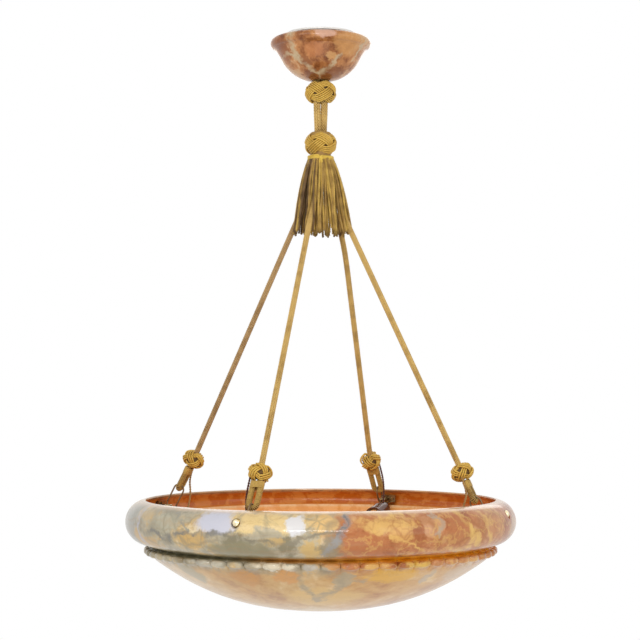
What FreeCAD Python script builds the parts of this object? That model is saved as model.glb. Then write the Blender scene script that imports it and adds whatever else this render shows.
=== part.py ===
"""Alabaster bowl pendant: a stone bowl on four ropes, under a tassel and a small stone canopy.

Millimetres, +Z up. The origin is the middle of the ceiling plate's top face, on the ceiling.
Heights written as rim(h) are h above the centre of the bowl's half-round rim.
Each rope and what is on it are drawn in a local frame, with +X outwards, and turned to their bearing.
"""
import FreeCAD, Part
import math
import os

os.makedirs("parts", exist_ok=True)
Vec = FreeCAD.Vector
UP = Vec(0, 0, 1)
AXIS = Vec(0, 0, 0)

# ---- driving dimensions ----
CEILING_TO_RIM = 585.0        # ceiling to the centre of the half-round rim
RIM_CENTRE_R = 206.9          # circle that the rim's section is centred on
RIM_SECTION_R = 25.1          # radius of the rim's half-round section
BOWL_SHOULDER_R = 196.3       # where the shallow bowl starts, under the beads
BOWL_SHOULDER_H = -44.0
BOWL_DEPTH = 60.0             # from the shoulder down to the bottom
BOWL_POWER = 2.45             # roundness of the shallow bowl
BEAD_COUNT = 60

# Each rope: bearing from +X, radius and height of its knot, length of its wire link, and height of its
# lampholder.
ROPES = {
    "left": {"bearing": 160.5, "knot_r": 165.6, "knot_h": 70.0, "link": 32.0, "holder_h": -10.0},
    "front": {"bearing": -113.5, "knot_r": 167.8, "knot_h": 63.5, "link": 23.0, "holder_h": -10.0},
    "back": {"bearing": 66.4, "knot_r": 160.6, "knot_h": 64.5, "link": 23.0, "holder_h": 2.5},
    "right": {"bearing": -20.0, "knot_r": 174.6, "knot_h": 59.8, "link": 23.0, "holder_h": -10.0},
}
# The back rope leaves the fringe to one side before it runs straight to its knot.
ROPE_DETOURS = {"back": (38.6, -13.7, 338.0)}

ROPE_R = 3.45                 # the four bowl ropes
ROPE_BUNDLE_R = 5.3           # circle of the four ropes inside the tassel
ROPE_TOP_H = 451.0            # where the ropes meet inside the mould
ROPE_SPREAD_H = 413.7         # where the ropes start to spread

TWIN_R = 4.1                  # the doubled rope
TWIN_OFFSET = 4.6             # from the axis to each leg
TWIN_TURN = 49.0              # degrees that the legs turn between the two knots

FIT = 0.05                    # play between pieces that bear on each other

KNOT_END_SHARE = 0.64         # a knot's flat end, as a share of its radius
KNOT_SIDE_SHARE = 0.9         # its radius part of the way up, as a share of its full radius
KNOT_SIDE_RISE = 0.29         # and how far up that is, as a share of its height


def rim(height):
    """Height above the rim's centre, as a height in the part's frame."""
    return height - CEILING_TO_RIM


# ---- shared shaping functions ----
def save(name, *solids):
    """Write one named piece, or a group of alike pieces, as a STEP file."""
    shape = solids[0] if len(solids) == 1 else Part.makeCompound(list(solids))
    if not shape.isValid():
        raise ValueError(name + " is not a valid shape")
    shape.exportStep("parts/" + name + ".step")
    print("%-24s solids %d  volume %.0f mm3" % (name, len(shape.Solids), shape.Volume))


def one_solid(shape):
    """The single solid of a boolean result."""
    if len(shape.Solids) != 1:
        raise ValueError("expected one solid and found %d" % len(shape.Solids))
    return shape.Solids[0]


def turned(profile_edges):
    """A solid of revolution about Z from closed profile edges in the XZ plane."""
    return Part.Face(Part.Wire(profile_edges)).revolve(AXIS, UP, 360)


def lathe(points):
    """A solid of revolution about Z from straight (radius, height) points."""
    corners = [Vec(r, 0, z) for r, z in points]
    edges = [Part.makeLine(a, b) for a, b in zip(corners, corners[1:] + corners[:1])]
    return turned(edges)


def line(a, b):
    """A straight profile edge between two (radius, height) points."""
    return Part.makeLine(Vec(a[0], 0, a[1]), Vec(b[0], 0, b[1]))


def arc(a, middle, b):
    """An arc profile edge through three (radius, height) points."""
    return Part.Arc(*[Vec(r, 0, z) for r, z in (a, middle, b)]).toShape()


def curve(points):
    """A smooth profile edge through (radius, height) points."""
    spline = Part.BSplineCurve()
    spline.interpolate([Vec(r, 0, z) for r, z in points])
    return spline.toShape()


def on_circle(centre, radius, degrees):
    """The (radius, height) point on a section circle, counted up from outwards."""
    angle = math.radians(degrees)
    return (centre[0] + radius * math.cos(angle), centre[1] + radius * math.sin(angle))


def tube(start, end, outer_r, inner_r=0.0):
    """A cylinder or a tube from one point to another."""
    along = end - start
    solid = Part.makeCylinder(outer_r, along.Length, start, along)
    if inner_r:
        solid = solid.cut(Part.makeCylinder(inner_r, along.Length, start, along))
    return solid


def hexagon(start, end, across_flats, bore_r):
    """A hexagon nut between two points on its axis."""
    along = end - start
    corner_r = across_flats / math.sqrt(3)
    corners = [
        Vec(corner_r * math.cos(math.radians(60 * k)), corner_r * math.sin(math.radians(60 * k)), 0)
        for k in range(7)
    ]
    prism = Part.Face(Part.makePolygon(corners)).extrude(Vec(0, 0, along.Length))
    prism = prism.cut(Part.makeCylinder(bore_r, along.Length))
    prism.Placement = FreeCAD.Placement(start, FreeCAD.Rotation(UP, along))
    return prism


TOUCHING = 1e-6               # points nearer than this are one point
BEND_SHARE = 0.45             # how much of its shorter run a rope's bend takes up


def rope_path(points, bends=None):
    """Straight runs joined by tangent arcs, as large as the runs allow unless a bend radius is given."""
    bends = bends or {}
    edges = []
    radii = []
    here = points[0]
    for k in range(1, len(points) - 1):
        corner = points[k]
        back = points[k - 1] - corner
        ahead = points[k + 1] - corner
        half_turn = (math.pi - back.getAngle(ahead)) / 2
        if k in bends:
            radius = bends[k]
        else:
            radius = BEND_SHARE * min(back.Length, ahead.Length) / math.tan(half_turn)
        reach = radius * math.tan(half_turn)
        back.normalize()
        ahead.normalize()
        first = corner + back * reach
        last = corner + ahead * reach
        inward = back + ahead
        inward.normalize()
        middle = corner + inward * (radius / math.cos(half_turn) - radius)
        if (first - here).Length > TOUCHING:
            edges.append(Part.LineSegment(here, first).toShape())
        edges.append(Part.Arc(first, middle, last).toShape())
        radii.append(radius)
        here = last
    edges.append(Part.LineSegment(here, points[-1]).toShape())
    return Part.Wire(edges), radii


def rope_solid(name, points, radius, bends=None):
    """A round rope or wire along its route; prints its bend radii and checks its volume."""
    path, radii = rope_path(points, bends)
    across = points[1] - points[0]
    section = Part.Wire(Part.makeCircle(radius, points[0], across))
    solid = one_solid(path.makePipeShell([section], True, False))
    share = solid.Volume / (math.pi * radius ** 2 * path.Length)
    text = ", ".join("%.0f" % r for r in radii)
    print("%-24s length %.0f  radii %s  volume/section %.3f" % (name, path.Length, text, share))
    return solid


def to_bearing(shape, bearing):
    """A shape drawn with +X outwards, turned to its bearing about the pendant's axis."""
    placed = shape.copy()
    placed.rotate(AXIS, UP, bearing)
    return placed


def knot_barrel(radius, height, bore_r):
    """A woven knot as a rounded barrel with flat ends and a bore, centred on the origin."""
    end_r = KNOT_END_SHARE * radius
    side_r = KNOT_SIDE_SHARE * radius
    side_h = KNOT_SIDE_RISE * height
    profile = [
        line((bore_r, -height / 2), (end_r, -height / 2)),
        curve([(end_r, -height / 2), (side_r, -side_h), (radius, 0), (side_r, side_h), (end_r, height / 2)]),
        line((end_r, height / 2), (bore_r, height / 2)),
        line((bore_r, height / 2), (bore_r, -height / 2)),
    ]
    return turned(profile)


# ---- ceiling plate: pressed steel disc, dished to take the hook's head ----
PLATE_R = 42.0
PLATE_THICK = 2.0
DISH_R = 14.0
DISH_DEPTH = 8.0
SCREW_SPACING = 56.0
SCREW_HOLE_R = 2.4
SHANK_R = 2.25
SHANK_CLEARANCE = 0.06

plate = lathe([
    (SHANK_R + SHANK_CLEARANCE, -DISH_DEPTH),
    (DISH_R - PLATE_THICK, -DISH_DEPTH),
    (DISH_R + PLATE_THICK, -PLATE_THICK),
    (PLATE_R, -PLATE_THICK),
    (PLATE_R, 0),
    (DISH_R, 0),
    (DISH_R - 2 * PLATE_THICK, PLATE_THICK - DISH_DEPTH),
    (SHANK_R + SHANK_CLEARANCE, PLATE_THICK - DISH_DEPTH),
])
for side in (-1, 1):
    screw_at = Vec(side * SCREW_SPACING / 2, 0, -PLATE_THICK)
    plate = plate.cut(Part.makeCylinder(SCREW_HOLE_R, PLATE_THICK, screw_at))
save("ceiling_plate", one_solid(plate))

# ---- ceiling hook: riveted head in the dish, shank through it, open hook below ----
HOOK_BEND_R = 4.6
HOOK_NECK_R = 4.0
HOOK_HEAD_R = 4.5
HOOK_HEAD_H = 2.5
HOOK_STRAIGHT = 1.0           # straight shank below the plate
HEAD_SEAT_Z = PLATE_THICK - DISH_DEPTH + FIT

neck_turn = math.acos(1 - HOOK_BEND_R / (2 * HOOK_NECK_R))
neck_drop = 2 * HOOK_NECK_R * math.sin(neck_turn)
NECK_TOP_Z = -DISH_DEPTH - HOOK_STRAIGHT
HOOK_BEND_Z = NECK_TOP_Z - neck_drop
half_neck = neck_turn / 2


def hook_point(centre_x, centre_z, radius, angle):
    """A point on one of the hook's bends, in the XZ plane."""
    return Vec(centre_x + radius * math.cos(angle), 0, centre_z + radius * math.sin(angle))


neck_middle = Vec(HOOK_BEND_R / 2, 0, (NECK_TOP_Z + HOOK_BEND_Z) / 2)
hook_path = Part.Wire([
    Part.LineSegment(Vec(0, 0, HEAD_SEAT_Z), Vec(0, 0, NECK_TOP_Z)).toShape(),
    Part.Arc(
        Vec(0, 0, NECK_TOP_Z),
        hook_point(HOOK_NECK_R, NECK_TOP_Z, HOOK_NECK_R, math.pi + half_neck),
        neck_middle,
    ).toShape(),
    Part.Arc(
        neck_middle,
        hook_point(HOOK_BEND_R - HOOK_NECK_R, HOOK_BEND_Z, HOOK_NECK_R, half_neck),
        Vec(HOOK_BEND_R, 0, HOOK_BEND_Z),
    ).toShape(),
    Part.Arc(
        Vec(HOOK_BEND_R, 0, HOOK_BEND_Z),
        Vec(0, 0, HOOK_BEND_Z - HOOK_BEND_R),
        Vec(-HOOK_BEND_R, 0, HOOK_BEND_Z),
    ).toShape(),
])
hook_section = Part.Wire(Part.makeCircle(SHANK_R, Vec(0, 0, HEAD_SEAT_Z), UP))
hook = hook_path.makePipeShell([hook_section], True, False)
hook = hook.fuse(Part.makeCylinder(HOOK_HEAD_R, HOOK_HEAD_H, Vec(0, 0, HEAD_SEAT_Z)))
save("ceiling_hook", one_solid(hook.removeSplitter()))

# ---- suspension ring: hangs in the hook, in the YZ plane ----
RING_R = 11.5
RING_WIRE_R = 1.75
HOOK_BOTTOM_Z = HOOK_BEND_Z - HOOK_BEND_R
RING_Z = HOOK_BOTTOM_Z + SHANK_R + FIT + RING_WIRE_R - RING_R
RING_BOTTOM_Z = RING_Z - RING_R
save("suspension_ring", Part.makeTorus(RING_R, RING_WIRE_R, Vec(0, 0, RING_Z), Vec(1, 0, 0)))

# ---- thimble: a bent strip between the ring and the rope ----
THIMBLE_PLAY = 0.4
THIMBLE_THICK = 0.7
THIMBLE_WIDTH = 5.0
THIMBLE_LEG = 2.0
THIMBLE_IN = RING_WIRE_R + THIMBLE_PLAY
THIMBLE_OUT = THIMBLE_IN + THIMBLE_THICK

thimble_section = Part.Wire([
    line((-THIMBLE_OUT, -THIMBLE_LEG), (-THIMBLE_OUT, 0)),
    arc((-THIMBLE_OUT, 0), (0, THIMBLE_OUT), (THIMBLE_OUT, 0)),
    line((THIMBLE_OUT, 0), (THIMBLE_OUT, -THIMBLE_LEG)),
    line((THIMBLE_OUT, -THIMBLE_LEG), (THIMBLE_IN, -THIMBLE_LEG)),
    line((THIMBLE_IN, -THIMBLE_LEG), (THIMBLE_IN, 0)),
    arc((THIMBLE_IN, 0), (0, THIMBLE_IN), (-THIMBLE_IN, 0)),
    line((-THIMBLE_IN, 0), (-THIMBLE_IN, -THIMBLE_LEG)),
    line((-THIMBLE_IN, -THIMBLE_LEG), (-THIMBLE_OUT, -THIMBLE_LEG)),
])
thimble = Part.Face(thimble_section).extrude(Vec(0, THIMBLE_WIDTH, 0))
thimble.translate(Vec(0, -THIMBLE_WIDTH / 2, RING_BOTTOM_Z))
save("rope_thimble", thimble)

# ---- twin rope: one rope doubled over the thimble, down through canopy and knot to the mould ----
TWIN_BEND_R = THIMBLE_OUT + FIT + TWIN_R
TWIN_NARROW_Z = RING_BOTTOM_Z - 12.0    # the legs lie together from here down
TWIN_WIDE_Z = RING_BOTTOM_Z - 5.5       # and start to part for the thimble here
TWIN_TURN_TOP_H = 499.0
TWIN_TURN_END_H = 462.0

twist = math.radians(TWIN_TURN)
leg_points = [
    Vec(TWIN_OFFSET * math.cos(twist), TWIN_OFFSET * math.sin(twist), rim(ROPE_TOP_H)),
    Vec(TWIN_OFFSET * math.cos(twist), TWIN_OFFSET * math.sin(twist), rim(TWIN_TURN_END_H)),
    Vec(TWIN_OFFSET, 0, rim(TWIN_TURN_TOP_H)),
    Vec(TWIN_OFFSET, 0, TWIN_NARROW_Z),
    Vec(TWIN_BEND_R, 0, TWIN_WIDE_Z),
    Vec(TWIN_BEND_R, 0, RING_BOTTOM_Z + TWIN_BEND_R),
]
other_leg = [Vec(-p.x, -p.y, p.z) for p in reversed(leg_points)]
bend_at = len(leg_points) - 1
twin_rope = rope_solid(
    "twin_rope", leg_points + other_leg, TWIN_R, {bend_at: TWIN_BEND_R, bend_at + 1: TWIN_BEND_R}
)
save("twin_rope", twin_rope)

# ---- terminal block with two screws, and the feed wires into the rope ----
BLOCK_X = 16.0
BLOCK_Y = 11.0
BLOCK_Z = 9.0
BLOCK_NEAR_Y = 17.0
BLOCK_LOW_Z = -33.0
BLOCK_CORNER_R = 1.2
BLOCK_SCREW_R = 1.6
BLOCK_SCREW_HOLE = 3.5
BLOCK_SCREW_SUNK = 0.5        # the screw's head lies this far below the block's face
SCREW_SLOT = 0.6
FEED_WIRE_R = 0.8
FEED_X = 4.0                  # each wire leaves the block this far from its middle
FEED_END_X = 6.2              # and meets the rope this far out, on its side
FEED_END_Y = TWIN_R + 0.4
FEED_DROPS = (8.5, 12.0, 13.3)    # heights of the wire's bends and end, below the block
FEED_BEND = (4.6, 13.0)       # x and y of the wire's second bend

block_middle_y = BLOCK_NEAR_Y + BLOCK_Y / 2
block = Part.makeBox(BLOCK_X, BLOCK_Y, BLOCK_Z, Vec(-BLOCK_X / 2, BLOCK_NEAR_Y, BLOCK_LOW_Z))
block = block.makeFillet(BLOCK_CORNER_R, [e for e in block.Edges if abs(e.tangentAt(0).z) > 0.9])
screws = []
for side in (-1, 1):
    screw_foot = Vec(side * FEED_X, block_middle_y, BLOCK_LOW_Z + BLOCK_Z - BLOCK_SCREW_HOLE)
    screw_length = BLOCK_SCREW_HOLE - BLOCK_SCREW_SUNK
    screw = Part.makeCylinder(BLOCK_SCREW_R, screw_length, screw_foot)
    block = block.cut(Part.makeCylinder(BLOCK_SCREW_R, BLOCK_SCREW_HOLE, screw_foot))
    slot = Part.makeBox(
        2 * BLOCK_SCREW_R, SCREW_SLOT, SCREW_SLOT,
        screw_foot + Vec(-BLOCK_SCREW_R, -SCREW_SLOT / 2, screw_length - SCREW_SLOT),
    )
    screws.append(screw.cut(slot))
save("terminal_block", one_solid(block))
save("terminal_screws", *screws)

feed_wires = []
for side in (-1, 1):
    route = [
        Vec(side * FEED_X, block_middle_y, BLOCK_LOW_Z),
        Vec(side * FEED_X, block_middle_y, BLOCK_LOW_Z - FEED_DROPS[0]),
        Vec(side * FEED_BEND[0], FEED_BEND[1], BLOCK_LOW_Z - FEED_DROPS[1]),
        Vec(side * FEED_END_X, FEED_END_Y, BLOCK_LOW_Z - FEED_DROPS[2]),
    ]
    feed_wires.append(rope_solid("feed_wire", route, FEED_WIRE_R))
save("feed_wires", *feed_wires)

# ---- canopy: turned alabaster cup with a small ledge under its lip ----
CANOPY_WALL = 8.0
CANOPY_HOLE_R = 10.5
CANOPY_TOP_H = 579.0
CANOPY_BOTTOM_H = 528.3

canopy_outside = [
    line((48.0, rim(CANOPY_TOP_H)), (55.5, rim(CANOPY_TOP_H))),
    arc((55.5, rim(CANOPY_TOP_H)), (60.5, rim(574.2)), (56.2, rim(567.2))),
    line((56.2, rim(567.2)), (54.0, rim(565.2))),
    curve([
        (54.0, rim(565.2)), (52.0, rim(562.0)), (49.0, rim(557.0)), (45.4, rim(550.2)), (40.8, rim(544.0)),
        (35.0, rim(538.3)), (25.4, rim(532.3)), (17.0, rim(529.3)), (CANOPY_HOLE_R, rim(CANOPY_BOTTOM_H)),
    ]),
]
canopy_inside = [
    line((CANOPY_HOLE_R, rim(CANOPY_BOTTOM_H)), (CANOPY_HOLE_R, rim(CANOPY_BOTTOM_H) + CANOPY_WALL)),
    curve([
        (CANOPY_HOLE_R, rim(CANOPY_BOTTOM_H) + CANOPY_WALL), (22.1, rim(539.3)), (30.1, rim(544.6)),
        (37.6, rim(553.5)), (42.5, rim(562.0)), (46.0, rim(570.0)), (48.0, rim(CANOPY_TOP_H)),
    ]),
]
save("alabaster_canopy", one_solid(turned(canopy_outside + canopy_inside)))

# ---- the two woven knots on the axis ----
KNOT_1_R = 19.6
KNOT_1_LOW_H = 500.0
KNOT_1_BORE_R = 9.1
knot_1_height = CANOPY_BOTTOM_H - KNOT_1_LOW_H
canopy_knot = knot_barrel(KNOT_1_R, knot_1_height, KNOT_1_BORE_R)
canopy_knot.translate(Vec(0, 0, rim(KNOT_1_LOW_H + knot_1_height / 2)))
save("canopy_knot", one_solid(canopy_knot))

MOULD_R = 12.4
MOULD_BORE_R = 9.0
MOULD_MOUTH_R = 10.4          # the bore flares out where the ropes start to spread
MOULD_NECK_R = 10.8
MOULD_TOP_H = 465.5
MOULD_NECK_TOP_H = 434.5
MOULD_NECK_LOW_H = 424.0
MOULD_LOW_H = 419.5
MOULD_FLARE_TOP_H = 430.5     # the flare of the bore starts here
MOULD_SLOPE = 1.5             # height of the slope from the neck up to the full radius
MOULD_FOOT = 2.0              # height of the flange at the foot
MOULD_BEVEL = 1.0
mould = lathe([
    (MOULD_BORE_R, rim(MOULD_FLARE_TOP_H)),
    (MOULD_MOUTH_R, rim(MOULD_LOW_H)),
    (MOULD_R - MOULD_BEVEL, rim(MOULD_LOW_H)),
    (MOULD_R, rim(MOULD_LOW_H + MOULD_FOOT)),
    (MOULD_NECK_R, rim(MOULD_NECK_LOW_H)),
    (MOULD_NECK_R, rim(MOULD_NECK_TOP_H - MOULD_SLOPE)),
    (MOULD_R, rim(MOULD_NECK_TOP_H)),
    (MOULD_R, rim(MOULD_TOP_H - MOULD_BEVEL)),
    (MOULD_R - MOULD_BEVEL, rim(MOULD_TOP_H)),
    (MOULD_BORE_R, rim(MOULD_TOP_H)),
])
save("tassel_mould", one_solid(mould))

KNOT_2_R = 20.0
KNOT_2_LOW_H = 434.5
KNOT_2_TOP_H = 466.0
tassel_knot = knot_barrel(KNOT_2_R, KNOT_2_TOP_H - KNOT_2_LOW_H, MOULD_R + 2 * FIT)
tassel_knot.translate(Vec(0, 0, rim((KNOT_2_LOW_H + KNOT_2_TOP_H) / 2)))
save("tassel_knot", one_solid(tassel_knot))


# ---- the four ropes, with what is on each of them ----
EYE_BOLT_H = 12.5             # height of the eye bolts in the rim
EYE_BOLT_CENTRE_R = 201.0     # radius of the middle of each bolt's eye
EYE_BOLT_RING_R = 4.6
EYE_BOLT_WIRE_R = 1.6
EYE_BOLT_SHANK_R = 2.0
EYE_BOLT_END_R = 228.0
ROPE_KNOT_R = 14.5
ROPE_KNOT_HEIGHT = 22.0
WHIPPING_R = 9.4
WHIPPING_LENGTH = 8.0
EYE_LEG_R = 3.6               # the served eye's thickness
EYE_BEND_R = 5.0
LINK_WIRE_R = 1.0
LINK_BEND_R = 6.5
LINK_SLACK = 0.4              # play between the link and the eye bolt
FLEX_R = 1.3
FLEX_START = (3.0, -10.6)     # where the flex lies in the knot: along the rope's end, and sideways
FLEX_EXIT = (24.0, -11.2)     # and where it is clear of the knot
FLEX_SLACK = (-3.0, -2.5, 2.0)    # how far its middle hangs off the straight line
FLEX_ABOVE_CAP = (0.0, -0.6, 9.0)    # where it turns down, from the hole in the holder's cap
FLEX_IN_CAP = 1.2
FLEX_HOLE_ALONG = 6.5         # from the holder's rear to that hole


def bolt_point(radius):
    """A point on the eye bolt's axis."""
    return Vec(radius, 0, rim(EYE_BOLT_H))


eye_hold = bolt_point(EYE_BOLT_CENTRE_R - EYE_BOLT_RING_R)


def knot_centre(rope):
    return Vec(rope["knot_r"], 0, rim(rope["knot_h"]))


def below_knot(rope, along, sideways=0.0):
    """A point that far down from the knot's centre towards the eye bolt, and that far sideways."""
    down = eye_hold - knot_centre(rope)
    down.normalize()
    return knot_centre(rope) + down * along + Vec(0, sideways, 0)


def rope_route(name, rope):
    """From inside the mould down the bundle and straight out to the knot."""
    route = [Vec(ROPE_BUNDLE_R, 0, rim(ROPE_TOP_H)), Vec(ROPE_BUNDLE_R, 0, rim(ROPE_SPREAD_H))]
    if name in ROPE_DETOURS:
        x, y, h = ROPE_DETOURS[name]
        route.append(Vec(x, y, rim(h)))
    return route + [knot_centre(rope)]


def eye_bend_along(rope):
    """Distance from the knot's centre to the middle of the served eye's bend."""
    to_bolt = (eye_hold - knot_centre(rope)).Length
    link_top = to_bolt + EYE_BOLT_WIRE_R + LINK_WIRE_R + LINK_SLACK - rope["link"]
    return link_top - (EYE_BEND_R - EYE_LEG_R) + LINK_WIRE_R + 2 * FIT


def served_eye(rope):
    """The rope's end, turned back into a U and bound with yarn."""
    bend = eye_bend_along(rope)
    start = ROPE_KNOT_HEIGHT / 2
    path = Part.Wire([
        Part.LineSegment(below_knot(rope, start, -EYE_BEND_R), below_knot(rope, bend, -EYE_BEND_R)).toShape(),
        Part.Arc(
            below_knot(rope, bend, -EYE_BEND_R),
            below_knot(rope, bend + EYE_BEND_R),
            below_knot(rope, bend, EYE_BEND_R),
        ).toShape(),
        Part.LineSegment(below_knot(rope, bend, EYE_BEND_R), below_knot(rope, start, EYE_BEND_R)).toShape(),
    ])
    across = below_knot(rope, bend) - below_knot(rope, start)
    section = Part.Wire(Part.makeCircle(EYE_LEG_R, below_knot(rope, start, -EYE_BEND_R), across))
    return one_solid(path.makePipeShell([section], True, False))


def whipping(rope):
    """Yarn bound round and between the eye's two legs, close under the knot."""
    start = ROPE_KNOT_HEIGHT / 2
    solid = tube(below_knot(rope, start), below_knot(rope, start + WHIPPING_LENGTH), WHIPPING_R)
    for side in (-1, 1):
        solid = solid.cut(tube(
            below_knot(rope, start, side * EYE_BEND_R),
            below_knot(rope, start + WHIPPING_LENGTH, side * EYE_BEND_R),
            EYE_LEG_R,
        ))
    return one_solid(solid)


def wire_link(rope):
    """An oval wire link in the upright plane through the axis, from the served eye to the eye bolt."""
    down = eye_hold - knot_centre(rope)
    down.normalize()
    outward = Vec(-down.z, 0, down.x)
    low = eye_hold + down * (EYE_BOLT_WIRE_R + LINK_WIRE_R + LINK_SLACK)
    top = low - down * rope["link"]
    top_centre = top + down * LINK_BEND_R
    low_centre = low - down * LINK_BEND_R
    side = outward * LINK_BEND_R
    path = Part.Wire([
        Part.LineSegment(top_centre + side, low_centre + side).toShape(),
        Part.Arc(low_centre + side, low, low_centre - side).toShape(),
        Part.LineSegment(low_centre - side, top_centre - side).toShape(),
        Part.Arc(top_centre - side, top, top_centre + side).toShape(),
    ])
    section = Part.Wire(Part.makeCircle(LINK_WIRE_R, top_centre + side, down))
    return one_solid(path.makePipeShell([section], True, False))


# ---- lampholders: bracket on the eye bolt, holder pointing inwards and a little down ----
HOLDER_REAR_R = 185.4         # radius of the holder's rear face
HOLDER_SIDE = -10.0           # it hangs to one side of its eye bolt
HOLDER_TILT = 12.0            # degrees below level
BRACKET_THICK = 1.2
BRACKET_HALF_WIDTH = 4.5
BRACKET_PLATE_R = 210.1       # inner face of the plate on the eye bolt
BRACKET_TONGUE_H = 8.0        # underside of the tongue over the bowl's lip
BRACKET_PLATE_TOP_H = 17.5
BRACKET_EDGE = 5.5            # from a hole's middle to the strip's end
SPIGOT_R = 2.5
SPIGOT_LENGTH = 5.0
HOLE_CLEARANCE = 0.1
CAP_R = 8.5
CAP_LENGTH = 12.0
CAP_WALL = 1.6
BODY_R = 11.5
BODY_END = 40.0
BODY_WALL = 1.6
SOCKET_BORE_R = 7.0
SOCKET_WALL = 0.7
SOCKET_START = 20.0
SOCKET_END = 38.0

tilt = math.radians(HOLDER_TILT)
holder_axis = Vec(-math.cos(tilt), 0, -math.sin(tilt))


def holder_rear(rope):
    return Vec(HOLDER_REAR_R, HOLDER_SIDE, rim(rope["holder_h"]))


def as_holder(shape, rope):
    """A shape drawn along +Z from the holder's rear, put in its place on the bracket."""
    placed = shape.copy()
    placed.Placement = FreeCAD.Placement(holder_rear(rope), FreeCAD.Rotation(UP, holder_axis))
    return placed


def lamp_bracket(rope):
    """Bent strip: a plate on the eye bolt, a tongue over the lip, and a tab for the holder."""
    tongue = rim(BRACKET_TONGUE_H)
    left = HOLDER_SIDE - BRACKET_HALF_WIDTH
    width = 2 * BRACKET_HALF_WIDTH
    tab_rise = (BRACKET_TONGUE_H + BRACKET_THICK - rope["holder_h"]) / math.cos(tilt)
    tongue_end_r = HOLDER_REAR_R - tab_rise * math.sin(tilt)
    on_bolt = Part.makeBox(
        BRACKET_THICK, -left + BRACKET_EDGE, BRACKET_PLATE_TOP_H - BRACKET_TONGUE_H,
        Vec(BRACKET_PLATE_R, left, tongue),
    )
    over_lip = Part.makeBox(
        BRACKET_PLATE_R + BRACKET_THICK - tongue_end_r, width, BRACKET_THICK,
        Vec(tongue_end_r, left, tongue),
    )
    tab = Part.makeBox(
        BRACKET_EDGE + tab_rise, width, BRACKET_THICK,
        Vec(-BRACKET_EDGE, -BRACKET_HALF_WIDTH, -BRACKET_THICK),
    )
    bolt_hole = tube(
        bolt_point(BRACKET_PLATE_R - BRACKET_THICK), bolt_point(BRACKET_PLATE_R + 2 * BRACKET_THICK),
        EYE_BOLT_SHANK_R + HOLE_CLEARANCE,
    )
    spigot_hole = Part.makeCylinder(SPIGOT_R + HOLE_CLEARANCE, 3 * BRACKET_THICK, Vec(0, 0, -2 * BRACKET_THICK))
    strip = on_bolt.fuse(over_lip).fuse(as_holder(tab, rope)).removeSplitter()
    above = Part.makeBox(BRACKET_PLATE_R, width, BRACKET_THICK, Vec(0, left, tongue + BRACKET_THICK))
    return one_solid(strip.cut(above).cut(bolt_hole).cut(as_holder(spigot_hole, rope)))


HOLDER_GAP = 0.1              # the cap's shoulder stands this far off the bracket's tab
SPIGOT_BORE_R = 1.8
CAP_CHAMFER = (3.0, 3.5)      # how far in and how far along the cap's rear corner is cut off
CAP_THREAD = 4.0              # how far the body screws into the cap
BODY_SHOULDER = 4.0           # how far along the body widens
BODY_STEP = 1.0               # how far past the cap its bore starts to widen
BODY_BEAD = 0.7               # how far the bead at the mouth stands out
BODY_BEAD_WIDTH = 2.2
SOCKET_LIP = 0.6
BORE_PLAY = 0.3               # of socket and contact block inside the body
CONTACT_FOOT_R = 1.6          # the centre contact on the block
CONTACT_TIP_R = 1.2
CONTACT_PROUD = 1.2
BLOCK_RIM_R = SOCKET_BORE_R + 0.4    # inside of the block's rim, which the socket's flange stands on
BLOCK_SUNK = 1.5              # how far the block's face lies below its rim
cap_profile = lathe([
    (SPIGOT_BORE_R, -SPIGOT_LENGTH),
    (SPIGOT_R, -SPIGOT_LENGTH),
    (SPIGOT_R, HOLDER_GAP),
    (CAP_R - CAP_CHAMFER[0], HOLDER_GAP),
    (CAP_R, HOLDER_GAP + CAP_CHAMFER[1]),
    (CAP_R, CAP_LENGTH),
    (CAP_R - CAP_WALL, CAP_LENGTH),
    (CAP_R - CAP_WALL, HOLDER_GAP + CAP_CHAMFER[1]),
    (CAP_R - CAP_CHAMFER[0] - CAP_WALL, HOLDER_GAP + CAP_WALL),
    (SPIGOT_BORE_R, HOLDER_GAP + CAP_WALL),
])
NECK_R = CAP_R - CAP_WALL - FIT
BORE_R = BODY_R - BODY_WALL
body_start = CAP_LENGTH + 2 * HOLDER_GAP
wide_start = CAP_LENGTH + BODY_SHOULDER
bore_start = wide_start + BODY_WALL / 2
body_profile = lathe([
    (NECK_R - BODY_WALL, CAP_LENGTH - CAP_THREAD),
    (NECK_R, CAP_LENGTH - CAP_THREAD),
    (NECK_R, body_start),
    (CAP_R, body_start),
    (BODY_R, wide_start),
    (BODY_R, BODY_END - BODY_BEAD_WIDTH - BODY_BEAD),
    (BODY_R + BODY_BEAD, BODY_END - BODY_BEAD_WIDTH),
    (BODY_R + BODY_BEAD, BODY_END),
    (BORE_R, BODY_END),
    (BORE_R, bore_start),
    (NECK_R - BODY_WALL, body_start + BODY_STEP),
])
socket_profile = lathe([
    (SOCKET_BORE_R, SOCKET_START),
    (BORE_R - BORE_PLAY, SOCKET_START),
    (BORE_R - BORE_PLAY, SOCKET_START + SOCKET_WALL),
    (SOCKET_BORE_R + SOCKET_WALL, SOCKET_START + SOCKET_WALL),
    (SOCKET_BORE_R + SOCKET_WALL, SOCKET_END - SOCKET_LIP),
    (SOCKET_BORE_R + SOCKET_WALL + SOCKET_LIP, SOCKET_END),
    (SOCKET_BORE_R, SOCKET_END),
])
block_start = bore_start + HOLDER_GAP
block_end = SOCKET_START - FIT / 2
block_face = SOCKET_START - BLOCK_SUNK
block_profile = lathe([
    (0, block_start),
    (BORE_R - BORE_PLAY, block_start),
    (BORE_R - BORE_PLAY, block_end),
    (BLOCK_RIM_R, block_end),
    (BLOCK_RIM_R, block_face),
    (CONTACT_FOOT_R, block_face),
    (CONTACT_TIP_R, block_face + CONTACT_PROUD),
    (0, block_face + CONTACT_PROUD),
])
HOLDER_NUT_AF = 7.2
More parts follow.
